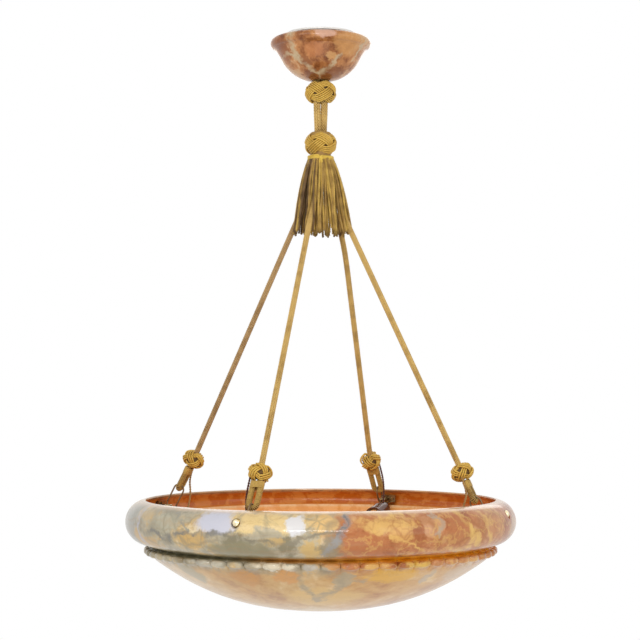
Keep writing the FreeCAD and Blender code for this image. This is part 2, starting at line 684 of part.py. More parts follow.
HOLDER_NUT_START = -BRACKET_THICK
HOLDER_NUT_END = -4.0

# ---- eye bolts and their nuts and washers ----
BOLT_HOLE_R = 2.2
INNER_SEAT_R = 215.5          # radius of the spot face inside the rim
OUTER_SEAT_R = 224.8          # radius of the spot face outside the rim
SPOT_FACE_R = 5.4
SPOT_FACE_REACH = 12.0        # how far the spot facer's cut runs out past its seat
DRILL_OVERLAP = 1.0           # the drill's cut runs this far past both seats
WASHER_R = 5.0
WASHER_THICK = 1.0
NUT_AF = 7.0                  # across the flats
NUT_BORE_R = EYE_BOLT_SHANK_R + FIT
BRACKET_NUT_THICK = 2.4
DOME_R = 4.2
DOME_HEIGHT = 4.2
DOME_SKIRT = 1.6              # straight side below the dome
DOME_TIP_R = 0.5
DOME_SHOULDER = (3.0, 3.45)   # radius and height of a point half way round the dome


def eye_bolt():
    """A ring lying level on a threaded shank that runs out through the rim."""
    ring = Part.makeTorus(EYE_BOLT_RING_R, EYE_BOLT_WIRE_R, bolt_point(EYE_BOLT_CENTRE_R), UP)
    shank_start = EYE_BOLT_CENTRE_R + EYE_BOLT_RING_R
    shank = tube(bolt_point(shank_start), bolt_point(EYE_BOLT_END_R), EYE_BOLT_SHANK_R)
    return one_solid(ring.fuse(shank))


def dome_nut():
    """A domed nut on the outside end of an eye bolt."""
    start = OUTER_SEAT_R + WASHER_THICK
    bore_depth = EYE_BOLT_END_R - start + FIT
    solid = turned([
        line((NUT_BORE_R, 0), (DOME_R, 0)),
        line((DOME_R, 0), (DOME_R, DOME_SKIRT)),
        arc((DOME_R, DOME_SKIRT), DOME_SHOULDER, (DOME_TIP_R, DOME_HEIGHT)),
        line((DOME_TIP_R, DOME_HEIGHT), (0, DOME_HEIGHT)),
        line((0, DOME_HEIGHT), (0, bore_depth)),
        line((0, bore_depth), (NUT_BORE_R, bore_depth)),
        line((NUT_BORE_R, bore_depth), (NUT_BORE_R, 0)),
    ])
    solid.Placement = FreeCAD.Placement(bolt_point(start), FreeCAD.Rotation(UP, Vec(1, 0, 0)))
    return one_solid(solid)


hardware = {
    "eye_bolts": eye_bolt(),
    "bracket_nuts": hexagon(
        bolt_point(BRACKET_PLATE_R - BRACKET_NUT_THICK), bolt_point(BRACKET_PLATE_R), NUT_AF, NUT_BORE_R
    ),
    "inner_nuts": hexagon(
        bolt_point(BRACKET_PLATE_R + BRACKET_THICK), bolt_point(INNER_SEAT_R - WASHER_THICK), NUT_AF, NUT_BORE_R
    ),
    "inner_washers": tube(
        bolt_point(INNER_SEAT_R - WASHER_THICK), bolt_point(INNER_SEAT_R), WASHER_R, BOLT_HOLE_R
    ),
    "rim_washers": tube(
        bolt_point(OUTER_SEAT_R), bolt_point(OUTER_SEAT_R + WASHER_THICK), WASHER_R, BOLT_HOLE_R
    ),
    "dome_nuts": dome_nut(),
}
for part_name, part_shape in hardware.items():
    save(part_name, *[to_bearing(part_shape, rope["bearing"]) for rope in ROPES.values()])

# ---- tassel skirt and tie ----
SKIRT_LOW_H = 342.0
SKIRT_LOW_R = 36.0
SKIRT_THICK = 5.0
SKIRT_NECK_R = 14.6
SKIRT_PLAY = 0.3              # between the fringe and the mould
SKIRT_INSIDE_R = MOULD_NECK_R + SKIRT_PLAY
SKIRT_OVER_FOOT_R = MOULD_R + SKIRT_PLAY
SKIRT_TOP_H = 432.8
SKIRT_SHOULDER_H = 424.0
SKIRT_SHOULDER_R = 17.6
SKIRT_NECK_LOW_H = 428.5      # the neck widens into the shoulder from here
SKIRT_OVER_FOOT = (423.0, 418.0)    # heights between which it hangs straight over the mould's foot
TIE_WIRE_R = 1.3
TIE_BELOW_TOP = 0.4
ROPE_CLEARANCE = 0.4

rope_solids = {}
rope_cutters = []
for name, rope in ROPES.items():
    route = rope_route(name, rope)
    rope_solids[name] = rope_solid("rope_" + name, route, ROPE_R)
    cutter = rope_solid("clearance", route, ROPE_R + ROPE_CLEARANCE)
    rope_cutters.append(to_bearing(cutter, rope["bearing"]))

skirt = lathe([
    (SKIRT_INSIDE_R, rim(SKIRT_TOP_H)),
    (SKIRT_INSIDE_R, rim(SKIRT_OVER_FOOT[0] + SKIRT_OVER_FOOT_R - SKIRT_INSIDE_R)),
    (SKIRT_OVER_FOOT_R, rim(SKIRT_OVER_FOOT[0])),
    (SKIRT_OVER_FOOT_R, rim(SKIRT_OVER_FOOT[1])),
    (SKIRT_LOW_R - SKIRT_THICK, rim(SKIRT_LOW_H)),
    (SKIRT_LOW_R, rim(SKIRT_LOW_H)),
    (SKIRT_SHOULDER_R, rim(SKIRT_SHOULDER_H)),
    (SKIRT_NECK_R, rim(SKIRT_NECK_LOW_H)),
    (SKIRT_NECK_R, rim(SKIRT_TOP_H)),
])
for cutter in rope_cutters:
    skirt = skirt.cut(cutter)
save("tassel_skirt", one_solid(skirt))

tie_at = Vec(0, 0, rim(SKIRT_TOP_H - TIE_WIRE_R - TIE_BELOW_TOP))
save("tassel_tie", Part.makeTorus(SKIRT_NECK_R + TIE_WIRE_R + 2 * FIT, TIE_WIRE_R, tie_at, UP))

# ---- write the pieces of each rope and lampholder ----
whippings = []
contact_blocks = []
holder_nuts = []
for name, rope in ROPES.items():
    bearing = rope["bearing"]
    cap = as_holder(cap_profile, rope)
    rear = holder_rear(rope)
    cap_hole = rear + holder_axis * FLEX_HOLE_ALONG + Vec(0, 0, CAP_R)
    knot_exit = below_knot(rope, *FLEX_EXIT)
    flex_route = [
        below_knot(rope, *FLEX_START),
        knot_exit,
        (knot_exit + cap_hole) * 0.5 + Vec(*FLEX_SLACK),
        cap_hole + Vec(*FLEX_ABOVE_CAP),
        cap_hole - Vec(0, 0, FLEX_IN_CAP),
    ]
    flex = rope_solid("lamp_flex_" + name, flex_route, FLEX_R)

    knot = knot_barrel(ROPE_KNOT_R, ROPE_KNOT_HEIGHT, 0.0)
    down = below_knot(rope, 1.0) - knot_centre(rope)
    knot.Placement = FreeCAD.Placement(knot_centre(rope), FreeCAD.Rotation(UP, down))
    knot = one_solid(knot.cut(rope_solids[name]).cut(flex))

    pieces = {
        "rope": rope_solids[name],
        "rope_knot": knot,
        "rope_eye": served_eye(rope),
        "rope_link": wire_link(rope),
        "lamp_flex": flex,
        "lamp_bracket": lamp_bracket(rope),
        "lampholder_cap": one_solid(cap.cut(flex)),
        "lampholder_body": one_solid(as_holder(body_profile, rope)),
        "lamp_socket": one_solid(as_holder(socket_profile, rope)),
    }
    for piece_name, shape in pieces.items():
        save(piece_name + "_" + name, to_bearing(shape, bearing))
    whippings.append(to_bearing(whipping(rope), bearing))
    contact_blocks.append(to_bearing(as_holder(block_profile, rope), bearing))
    holder_nuts.append(to_bearing(
        hexagon(
            rear + holder_axis * HOLDER_NUT_END, rear + holder_axis * HOLDER_NUT_START,
            HOLDER_NUT_AF, SPIGOT_R + FIT,
        ),
        bearing,
    ))
save("rope_whippings", *whippings)
save("contact_blocks", *contact_blocks)
save("holder_nuts", *holder_nuts)

# ---- alabaster bowl: half-round rim with a gutter inside, a beaded band and a shallow bowl ----
GUTTER_CENTRE = (204.6, rim(13.0))
GUTTER_R = 11.0
RIM_CREST_R = 208.3           # radius of the rim's highest edge
BEAD_CENTRE_R = 206.0
BEAD_H = -34.1
BEAD_HALF_HEIGHT = 3.95
BEAD_PROUD = 4.2
BEAD_ROOT_R = BEAD_CENTRE_R - 1.45
BEAD_GROOVE = 3.0             # how deep the grooves between beads are cut
BEAD_NOTCH_PROUD = 1.5        # how far each cutter stands out of the beads
BEAD_NOTCH_HALF_WIDTH = 2.4
NOTCH_OVERLAP = 0.5
COVE_ABOVE_BEADS = (201.0, rim(-28.2))
COVE_BELOW_BEADS = (200.6, rim(-39.8))
GUTTER_INNER = (195.0, rim(5.6))    # top of the gutter's inner wall
WALL_UNDER_LIP = (193.6, rim(-8.0))
INNER_SHOULDER_R = 187.4
INNER_SHOULDER_H = -36.5
INNER_DEPTH = 55.5
SMOOTH_POINTS = 9

rim_centre = (RIM_CENTRE_R, rim(0))
rim_top_angle = math.degrees(math.acos((RIM_CREST_R - RIM_CENTRE_R) / RIM_SECTION_R))
rim_top = on_circle(rim_centre, RIM_SECTION_R, rim_top_angle)
rim_low = on_circle(rim_centre, RIM_SECTION_R, -80)
gutter_top = on_circle(GUTTER_CENTRE, GUTTER_R, 72)
gutter_low = on_circle(GUTTER_CENTRE, GUTTER_R, -137)


def bowl_curve(shoulder_r, shoulder_h, depth):
    """A smooth edge from the shoulder to the bottom of the bowl on the axis."""
    points = []
    for k in range(SMOOTH_POINTS):
        share = math.cos(math.pi / 2 * k / (SMOOTH_POINTS - 1))
        points.append((shoulder_r * share, rim(shoulder_h - depth * (1 - share ** BOWL_POWER))))
    return points


outside = bowl_curve(BOWL_SHOULDER_R, BOWL_SHOULDER_H, BOWL_DEPTH)
inside = bowl_curve(INNER_SHOULDER_R, INNER_SHOULDER_H, INNER_DEPTH)
bead_low = (BEAD_ROOT_R, rim(BEAD_H - BEAD_HALF_HEIGHT))
bead_out = (BEAD_CENTRE_R + BEAD_PROUD, rim(BEAD_H))
bead_top = (BEAD_ROOT_R, rim(BEAD_H + BEAD_HALF_HEIGHT))
bowl = turned([
    line(gutter_top, rim_top),
    arc(rim_top, on_circle(rim_centre, RIM_SECTION_R, 0), rim_low),
    line(rim_low, COVE_ABOVE_BEADS),
    line(COVE_ABOVE_BEADS, bead_top),
    arc(bead_top, bead_out, bead_low),
    line(bead_low, COVE_BELOW_BEADS),
    line(COVE_BELOW_BEADS, outside[0]),
    curve(outside),
    line(outside[-1], inside[-1]),
    curve(inside[::-1]),
    line(inside[0], WALL_UNDER_LIP),
    line(WALL_UNDER_LIP, GUTTER_INNER),
    line(GUTTER_INNER, gutter_low),
    arc(gutter_low, on_circle(GUTTER_CENTRE, GUTTER_R, -40), gutter_top),
])

notch_r = BEAD_CENTRE_R + BEAD_PROUD
notch = Part.Face(Part.makePolygon([
    Vec(notch_r - BEAD_GROOVE, 0, 0),
    Vec(notch_r + BEAD_NOTCH_PROUD, BEAD_NOTCH_HALF_WIDTH, 0),
    Vec(notch_r + BEAD_NOTCH_PROUD, -BEAD_NOTCH_HALF_WIDTH, 0),
    Vec(notch_r - BEAD_GROOVE, 0, 0),
])).extrude(Vec(0, 0, 2 * (BEAD_HALF_HEIGHT + NOTCH_OVERLAP)))
notch.translate(Vec(0, 0, rim(BEAD_H - BEAD_HALF_HEIGHT - NOTCH_OVERLAP)))
notches = [to_bearing(notch, 360.0 * k / BEAD_COUNT) for k in range(BEAD_COUNT)]
bowl = bowl.cut(Part.makeCompound(notches))
for rope in ROPES.values():
    bolt_cuts = [
        tube(bolt_point(INNER_SEAT_R - SPOT_FACE_REACH / 2), bolt_point(INNER_SEAT_R), SPOT_FACE_R),
        tube(bolt_point(INNER_SEAT_R - DRILL_OVERLAP), bolt_point(OUTER_SEAT_R + DRILL_OVERLAP), BOLT_HOLE_R),
        tube(bolt_point(OUTER_SEAT_R), bolt_point(OUTER_SEAT_R + SPOT_FACE_REACH), SPOT_FACE_R),
    ]
    for cutter in bolt_cuts:
        bowl = bowl.cut(to_bearing(cutter, rope["bearing"]))
save("alabaster_bowl", one_solid(bowl))
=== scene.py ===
import math
import random

import bpy
from mathutils import Matrix, Vector


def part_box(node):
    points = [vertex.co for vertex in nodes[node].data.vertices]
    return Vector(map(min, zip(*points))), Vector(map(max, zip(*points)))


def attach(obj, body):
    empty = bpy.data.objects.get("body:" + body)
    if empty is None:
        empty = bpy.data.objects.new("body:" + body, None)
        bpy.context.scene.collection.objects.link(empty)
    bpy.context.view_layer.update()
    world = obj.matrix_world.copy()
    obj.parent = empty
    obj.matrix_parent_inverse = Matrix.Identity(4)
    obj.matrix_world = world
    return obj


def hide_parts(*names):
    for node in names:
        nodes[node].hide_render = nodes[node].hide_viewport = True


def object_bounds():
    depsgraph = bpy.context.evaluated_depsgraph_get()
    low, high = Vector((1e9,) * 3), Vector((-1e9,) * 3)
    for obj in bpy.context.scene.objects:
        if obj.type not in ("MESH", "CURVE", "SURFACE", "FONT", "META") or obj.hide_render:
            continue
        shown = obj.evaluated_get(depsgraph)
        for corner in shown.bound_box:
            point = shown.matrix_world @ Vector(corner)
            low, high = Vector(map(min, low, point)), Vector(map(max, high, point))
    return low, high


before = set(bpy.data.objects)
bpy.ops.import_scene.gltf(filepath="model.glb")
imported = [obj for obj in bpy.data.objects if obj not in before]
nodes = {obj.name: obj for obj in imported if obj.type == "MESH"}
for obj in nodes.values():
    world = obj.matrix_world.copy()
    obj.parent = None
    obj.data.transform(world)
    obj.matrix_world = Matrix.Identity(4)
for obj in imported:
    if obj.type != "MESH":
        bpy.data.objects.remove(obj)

MM = 0.001
CEILING_TO_RIM = 585 * MM
UP = Vector((0, 0, 1))
cad_box = [list(corner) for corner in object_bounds()]
bpy.ops.object.select_all(action="DESELECT")


def rim(height):
    """Height above the rim's centre, as a height in the pendant's frame."""
    return height - CEILING_TO_RIM


# ---- The room ----
# A white room with soft light all round, as for a catalogue picture, and a long lamp in front that
# draws a thin bright line along the rim.
# The eye is level with the middle of the ropes and looks slightly up.
CAMERA_AT = (-0.0008, -1.98, -0.43116)
CAMERA_TILT_UP = math.radians(2.464)
CAMERA_LENS = 92.81
FLOOR_DROP = 1.2
FLOOR_HALF = 6.0
STRIP_HEIGHT = 0.12
SOFTBOXES = {
    "key_softbox": {"at": (-1.3, -1.9, 0.75), "size": 1.3, "watts": 12.0},
    "strip_light": {"at": (-0.1, -2.3, 0.35), "size": 1.5, "watts": 12.0},
    "fill_softbox": {"at": (1.9, -1.5, 0.1), "size": 1.5, "watts": 8.0},
    "back_softbox": {"at": (0.2, 1.9, 0.7), "size": 1.6, "watts": 9.0},
    "low_softbox": {"at": (0.1, -1.5, -1.35), "size": 1.2, "watts": 4.0},
}


class Value:
    """A number or colour in a node tree. Sums, differences and products of values add Math nodes."""

    def __init__(self, finish, socket):
        self.finish = finish
        self.socket = socket

    def math(self, operation, first, second):
        return self.finish.node("Math", {"operation": operation}, {0: first, 1: second})

    def __add__(self, other):
        return self.math("ADD", self, other)

    __radd__ = __add__

    def __rsub__(self, other):
        return self.math("SUBTRACT", other, self)

    def __mul__(self, other):
        return self.math("MULTIPLY", self, other)

    __rmul__ = __mul__


class Finish:
    """A node tree that is built up by node(), and by expressions on the values that it returns."""

    def __init__(self, tree):
        self.tree = tree

    def node(self, kind, settings=None, inputs=None, output=0):
        """Adds a node, sets it up, feeds its sockets, and returns one of its outputs."""
        made = self.tree.nodes.new("ShaderNode" + kind)
        for name, value in (settings or {}).items():
            if name == "stops":
                self.set_stops(made.color_ramp.elements, value)
            else:
                setattr(made, name, value)
        for name, value in (inputs or {}).items():
            self.feed(made.inputs[name], value)
        return Value(self, made.outputs[output])

    def feed(self, socket, value):
        if isinstance(value, Value):
            self.tree.links.new(value.socket, socket)
        else:
            socket.default_value = value

    @staticmethod
    def set_stops(elements, stops):
        while len(elements) < len(stops):
            elements.new(1.0)
        for element, (position, colour) in zip(elements, stops):
            element.position = position
            element.color = (*colour, 1)

    def blend(self, share, first, second):
        """A colour between two colours."""
        first = first if isinstance(first, Value) else (*first, 1)
        second = second if isinstance(second, Value) else (*second, 1)
        return self.node("Mix", {"data_type": "RGBA"}, {0: share, 6: first, 7: second}, output=2)

    def step(self, value, low, high):
        """0 below low, 1 above high, and smooth between them; falls instead where low is above high."""
        return self.node(
            "MapRange", {"interpolation_type": "SMOOTHSTEP"}, {0: value, 1: low, 2: high}
        )

    def vector(self, operation, first, second):
        return self.node("VectorMath", {"operation": operation}, {0: first, 1: second})

    def noise(self, place, scale, detail=3.0, roughness=0.5):
        return self.node(
            "TexNoise", None, {"Vector": place, "Scale": scale, "Detail": detail, "Roughness": roughness}
        )


class Coating(Finish):
    """A piece's surface: a Principled shader whose varying sockets are fed by values."""

    def __init__(self, name, **uniform):
        self.material = bpy.data.materials.new(name)
        self.material.use_nodes = True
        super().__init__(self.material.node_tree)
        self.shader = self.tree.nodes["Principled BSDF"]
        for socket, value in uniform.items():
            self.shader.inputs[socket.replace("_", " ")].default_value = value
        self.place = self.node("TexCoord", output="Object")

    def paint(self, colour, roughness, bump=None, depth=0.0):
        """Feeds colour and roughness, and a bump of that depth in metres."""
        self.feed(self.shader.inputs["Base Color"], colour)
        self.feed(self.shader.inputs["Roughness"], roughness)
        if bump:
            normal = self.node("Bump", None, {"Strength": 1.0, "Distance": depth, "Height": bump})
            self.feed(self.shader.inputs["Normal"], normal)
        return self.material


def coat(names, material):
    """Gives CAD pieces that keep their shape their finish."""
    for name in names:
        nodes[name].data.materials.clear()
        nodes[name].data.materials.append(material)


bpy.ops.object.camera_add(location=CAMERA_AT, rotation=(math.pi / 2 + CAMERA_TILT_UP, 0, 0))
camera = bpy.context.object
camera.data.sensor_width = 36
camera.data.lens = CAMERA_LENS
bpy.context.scene.camera = camera
bpy.context.scene.view_settings.view_transform = "Standard"

pendant_middle = (Vector(cad_box[0]) + Vector(cad_box[1])) / 2
for lamp_name, lamp in SOFTBOXES.items():
    aim = (pendant_middle - Vector(lamp["at"])).to_track_quat("-Z", "Y").to_euler()
    bpy.ops.object.light_add(type="AREA", location=lamp["at"], rotation=aim)
    softbox = bpy.context.object
    softbox.name = lamp_name
    softbox.data.size = lamp["size"]
    softbox.data.energy = lamp["watts"]
    if lamp_name == "strip_light":
        softbox.data.shape = "RECTANGLE"
        softbox.data.size_y = STRIP_HEIGHT


def seen_directly(finish):
    """1 for what the camera, a mirror or a glass sees, and 0 for light on the object."""
    rays = [finish.node("LightPath", output=kind) for kind in
            ("Is Camera Ray", "Is Glossy Ray", "Is Transmission Ray")]
    return finish.node("Math", {"operation": "ADD", "use_clamp": True}, {0: rays[0] + rays[1], 1: rays[2]})


world = bpy.data.worlds.new("white_room")
world.use_nodes = True
bpy.context.scene.world = world
room = Finish(world.node_tree)
ROOM_LIGHT = 0.62
background = world.node_tree.nodes["Background"]
room.feed(background.inputs["Color"], (1, 1, 1, 1))
room.feed(background.inputs["Strength"], ROOM_LIGHT + (1 - ROOM_LIGHT) * seen_directly(room))

bpy.ops.mesh.primitive_plane_add(size=2 * FLOOR_HALF, location=(0, 0, cad_box[0][2] - FLOOR_DROP))
floor = bpy.context.object
floor.name = "floor"
FLOOR_WHITE = (0.93, 0.93, 0.93, 1)
FLOOR_GLOW_SHARE = 0.85
floor_material = bpy.data.materials.new("floor_white")
floor_material.use_nodes = True
floor_paint = Finish(floor_material.node_tree)
plain = floor_paint.node("BsdfDiffuse", None, {"Color": FLOOR_WHITE})
glow = floor_paint.node("Emission", None, {"Color": (1, 1, 1, 1), "Strength": 1.0})
floor_mix = floor_paint.node(
    "MixShader", None, {0: FLOOR_GLOW_SHARE * seen_directly(floor_paint), 1: plain, 2: glow}
)
floor_paint.feed(floor_material.node_tree.nodes["Material Output"].inputs["Surface"], floor_mix)
floor.data.materials.append(floor_material)


# ---- Ceiling plate, hook, ring and thimble ----
# A pressed steel plate in white stove enamel, and in it a bent hook that turns; on the hook hang a welded
# ring and a bent strip, zinc plated, with the faint spangle and dull spots of zinc.
def white_enamel():
    enamel = Coating("white_enamel", Coat_Weight=0.2, Coat_Roughness=0.15)
    ripple = enamel.noise(enamel.place, 130, 3)
    grime = enamel.step(enamel.noise(enamel.place, 45, 4, 0.6), 0.55, 0.75)
    colour = enamel.blend(grime * 0.4, (0.83, 0.82, 0.78), (0.66, 0.62, 0.54))
    return enamel.paint(colour, 0.3 + 0.2 * grime, ripple, 0.0001)


def zinc_steel():
    zinc = Coating("zinc_steel", Metallic=1.0)
    spangle = zinc.noise(zinc.place, 220, 2)
    spots = zinc.step(zinc.noise(zinc.place, 90, 4, 0.6), 0.52, 0.68)
    colour = zinc.blend(spangle, (0.50, 0.51, 0.52), (0.68, 0.69, 0.70))
    colour = zinc.blend(spots * 0.6, colour, (0.33, 0.32, 0.30))
    return zinc.paint(colour, 0.28 + 0.25 * spots + 0.1 * spangle, zinc.noise(zinc.place, 700, 2), 0.00005)


coat(["ceiling_plate"], white_enamel())
coat(["ceiling_hook", "suspension_ring", "rope_thimble"], zinc_steel())


# ---- Twin rope ----
# One braided rope of sixteen yarns, doubled over the thimble; its two legs turn an eighth round each other
# between the two knots and end in the tassel's core.
TWIN_R = 4.6 * MM
TWIN_OFFSET = 4.6 * MM
TWIN_TURN = math.radians(49)
TWIN_BEND_R = 7.0 * MM
THIMBLE_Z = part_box("suspension_ring")[0].z + 1.75 * MM
ROPE_TOP = rim(451 * MM)
YARNS_EACH_WAY = 8
POINTS_PER_CROSSING = 2
YARN_SHARE = 0.34            # a yarn's thickness, as a share of the rope's radius
WEAVE_SHARE = 0.15           # how far it rides over and under, as a share of the same
CORE_POINT_EVERY = 4


def smooth_line(points):
    """The points of the smooth line whose control points are a cord's route."""
    curve = bpy.data.curves.new("route", "CURVE")
    curve.dimensions = "3D"
    curve.resolution_u = 32
    spline = curve.splines.new("NURBS")
    spline.points.add(len(points) - 1)
    for control, point in zip(spline.points, points):
        control.co = (*point, 1)
    spline.order_u = 3
    spline.use_endpoint_u = True
    holder = bpy.data.objects.new("route", curve)
    line = [vertex.co.copy() for vertex in bpy.data.meshes.new_from_object(holder).vertices]
    bpy.data.objects.remove(holder)
    return line


def length_of(line):
    return sum((b - a).length for a, b in zip(line, line[1:]))


def stations(line, count):
    """Evenly spaced places along a line: each a point and two directions across it that don't spin."""
    total = length_of(line)
    found = []
    travelled = 0.0
    segment = 0
    across = None
    for k in range(count):
        wanted = total * k / (count - 1)
        while segment < len(line) - 2 and travelled + (line[segment + 1] - line[segment]).length < wanted:
            travelled += (line[segment + 1] - line[segment]).length
            segment += 1
        run = line[segment + 1] - line[segment]
        along = run.normalized()
        point = line[segment] + along * (wanted - travelled)
        if across is None:
            across = along.orthogonal().normalized()
        across = (across - along * across.dot(along)).normalized()
        found.append((point, across, along.cross(across)))
    return found


class Strands:
    """Round strands of one thickness that together make one piece."""

    def __init__(self, name, thickness, sides=6):
        self.name = name
        self.curve = bpy.data.curves.new(name, "CURVE")
        self.curve.dimensions = "3D"
        self.curve.bevel_depth = thickness / 2
        self.curve.bevel_resolution = (sides - 4) // 2
        self.curve.use_fill_caps = True

    def add(self, points, closed=False):
        """One strand through these points."""
        spline = self.curve.splines.new("POLY")
        spline.points.add(len(points) - 1)
        for k, point in enumerate(points):
            spline.points[k].co = (*point, 1)
        spline.use_cyclic_u = closed

    def made(self, material):
        """The finished mesh piece."""
        strands = bpy.data.objects.new(self.name, self.curve)
        bpy.context.collection.objects.link(strands)
        bpy.ops.object.select_all(action="DESELECT")
        strands.select_set(True)
        bpy.context.view_layer.objects.active = strands
        bpy.ops.object.convert(target="MESH")
        bpy.ops.object.shade_smooth()
        piece = bpy.context.object
        piece.data.materials.clear()
        piece.data.materials.append(material)
        return piece


def braided_rope(name, line, radius, material):
    """Sixteen yarns braided one over one round a line, over a core whose dark colour is painted shade between
    them.
    """
    pitch = 2 * math.pi * radius
    yarn = YARN_SHARE * radius
    weave = WEAVE_SHARE * radius
    middle_r = radius - yarn / 2 - weave
    total = length_of(line)
    turns = total / pitch
    count = int(turns * 2 * YARNS_EACH_WAY * POINTS_PER_CROSSING) + 1
    places = stations(line, count)
    strands = Strands(name, yarn)
    for way in (-1, 1):
        for k in range(YARNS_EACH_WAY):
            points = []
            for n, (point, across, beside) in enumerate(places):
                turn = 2 * math.pi * (k / YARNS_EACH_WAY + way * turns * n / (count - 1))
                lift = way * weave * math.cos(math.pi * n / POINTS_PER_CROSSING)
                r = middle_r + lift
                points.append(point + across * (r * math.cos(turn)) + beside * (r * math.sin(turn)))
            strands.add(points)
    # Painted shade: the core is dark brown so that it shows as the shade between the yarns.
    core = Strands(name + "_core", 2 * (middle_r - weave), sides=12)
    core.add([place[0] for place in places[::CORE_POINT_EVERY]])
    return join([strands.made(material), core.made(painted_shade_core)])


def lay_up(strands, line, thickness, lay, points_per_lay):
    """Adds two strands that are twisted round each other along a line."""
    places = stations(line, int(length_of(line) / lay * points_per_lay))
    for first_turn in (0, math.pi):
        points = []
        for n, (point, across, beside) in enumerate(places):
            turn = first_turn + 2 * math.pi * n / points_per_lay
            points.append(point + (across * math.cos(turn) + beside * math.sin(turn)) * (0.5 * thickness))
        strands.add(points)


def join(pieces):
    """Makes one piece of several; it keeps the first one's name."""
    bpy.ops.object.select_all(action="DESELECT")
    for piece in pieces:
        piece.select_set(True)
    bpy.context.view_layer.objects.active = pieces[0]
    bpy.ops.object.join()
    return pieces[0]


def cord_gold(name, light, dark, shine=0.35):
    """Aged artificial silk: light, and darker and browner in patches where it has worn."""
    silk = Coating(name, Sheen_Weight=0.1, Sheen_Roughness=0.4, Specular_IOR_Level=0.3)
    worn = silk.noise(silk.place, 60, 4, 0.6)
    fibres = silk.noise(silk.place, 1500, 3, 0.7)
    colour = silk.blend(0.7 * silk.step(worn, 0.42, 0.7), light, dark)
    colour = silk.blend(silk.step(fibres, 0.45, 0.75) * 0.45, colour, dark)
    return silk.paint(colour, 1 - shine - 0.12 * fibres, fibres, 0.00012)


def at_turn(radius, turn, height):
    return Vector((radius * math.cos(turn), radius * math.sin(turn), height))


gold_rope = cord_gold("gold_rope", (0.68, 0.46, 0.15), (0.38, 0.22, 0.06))
# Painted shade: the dark brown of the cores under the ropes, the knots and the eyes stands for the shade
# between the strands.
painted_shade_core = cord_gold("painted_shade_core", (0.16, 0.09, 0.03), (0.08, 0.04, 0.015), 0.2)
twin_leg = [
    at_turn(TWIN_OFFSET, TWIN_TURN, ROPE_TOP),
    at_turn(TWIN_OFFSET, TWIN_TURN, rim(462 * MM)),
    at_turn(TWIN_OFFSET, 0, rim(499 * MM)),
    at_turn(TWIN_OFFSET, 0, THIMBLE_Z - 12 * MM),
    at_turn(TWIN_BEND_R, 0, THIMBLE_Z - 5.5 * MM),
    at_turn(TWIN_BEND_R, 0, THIMBLE_Z + TWIN_BEND_R),
]
twin_back = [Vector((-p.x, -p.y, p.z)) for p in reversed(twin_leg)]
twin_line = smooth_line(twin_leg + twin_back)
twin_rope = braided_rope("doubled_rope", twin_line, TWIN_R, gold_rope)
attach(twin_rope, "pendant")
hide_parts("twin_rope")
at_turn(TWIN_OFFSET, TWIN_TURN, rim(465 * MM))


# ---- Terminal block and feed wires ----
# A glazed porcelain block with two brass screws, hidden in the canopy, and the two covered wires
# that run from it into the rope.
def porcelain():
    glaze = Coating("porcelain", Coat_Weight=0.4, Coat_Roughness=0.08)
    specks = glaze.step(glaze.noise(glaze.place, 900, 2), 0.66, 0.74)
    cloud = glaze.noise(glaze.place, 70, 3)
    colour = glaze.blend(cloud, (0.86, 0.84, 0.78), (0.78, 0.75, 0.67))
    colour = glaze.blend(specks * 0.5, colour, (0.42, 0.36, 0.28))
    return glaze.paint(colour, 0.16 + 0.1 * cloud, cloud, 0.0002)


def brass(name, bright, tarnish, spread):
    """Brass that has dulled: bright on the rubbed parts, brown where it has tarnished."""
    metal = Coating(name, Metallic=1.0)
    patches = metal.noise(metal.place, 160, 5, 0.6)
    fine = metal.noise(metal.place, 1400, 2)
    dulled = metal.step(patches, 0.62 - spread, 0.72 - spread)
    colour = metal.blend(dulled, bright, tarnish)
    return metal.paint(colour, 0.2 + 0.28 * dulled + 0.08 * fine, fine, 0.00004)


def covered_wire(name, light, dark):
    cover = Coating(name, Sheen_Weight=0.2)
    weave = cover.noise(cover.place, 1800, 2)
    worn = cover.noise(cover.place, 120, 3)
    colour = cover.blend(worn, light, dark)
    return cover.paint(colour, 0.7 + 0.2 * weave, weave, 0.0001)


polished_brass = brass("polished_brass", (0.78, 0.60, 0.28), (0.42, 0.30, 0.13), 0.0)
coat(["terminal_block"], porcelain())
coat(["terminal_screws"], polished_brass)
ochre_wire = covered_wire("ochre_wire", (0.52, 0.33, 0.10), (0.26, 0.13, 0.04))
coat(["feed_wires"], ochre_wire)


# ---- Alabaster canopy ----
# A small cup turned from brown and terracotta alabaster, with a rolled edge and a thin ledge under it.
# Pale tan veins run down its sides.
def unrolled(stone, girth, wander):
    """The stone as a flat map, in metres: the way round from the front to the right, and the height."""
    x, y, z = [stone.node("SeparateXYZ", None, {0: stone.place}, output=axis) for axis in range(3)]
    turn = stone.node("Math", {"operation": "ARCTAN2"}, {0: x, 1: 0 - y})
    flat = stone.node("CombineXYZ", None, {0: turn * girth, 1: z + CEILING_TO_RIM})
    drift = stone.node(
        "TexNoise", None,
        {"Vector": stone.place, "Scale": 1 / (12 * wander), "Detail": 6.0, "Roughness": 0.68}, output=1,
    )
    drift = stone.vector("SUBTRACT", drift, (0.5, 0.5, 0.5))
    return stone.vector("ADD", flat, stone.vector("MULTIPLY", drift, (22 * wander, 16 * wander, 0)))


def cloud_at(stone, flat, girth, bearing, height, half_width, half_height):
    """1 inside a ragged oval cloud on the map, and 0 outside it."""
    centre = (math.radians(bearing) * girth, height * MM, 0)
    away = stone.vector("SUBTRACT", flat, centre)
    away = stone.vector("DIVIDE", away, (half_width * MM, half_height * MM, 1))
    return stone.step(stone.node("VectorMath", {"operation": "LENGTH"}, {0: away}, output=1), 1.18, 0.72)


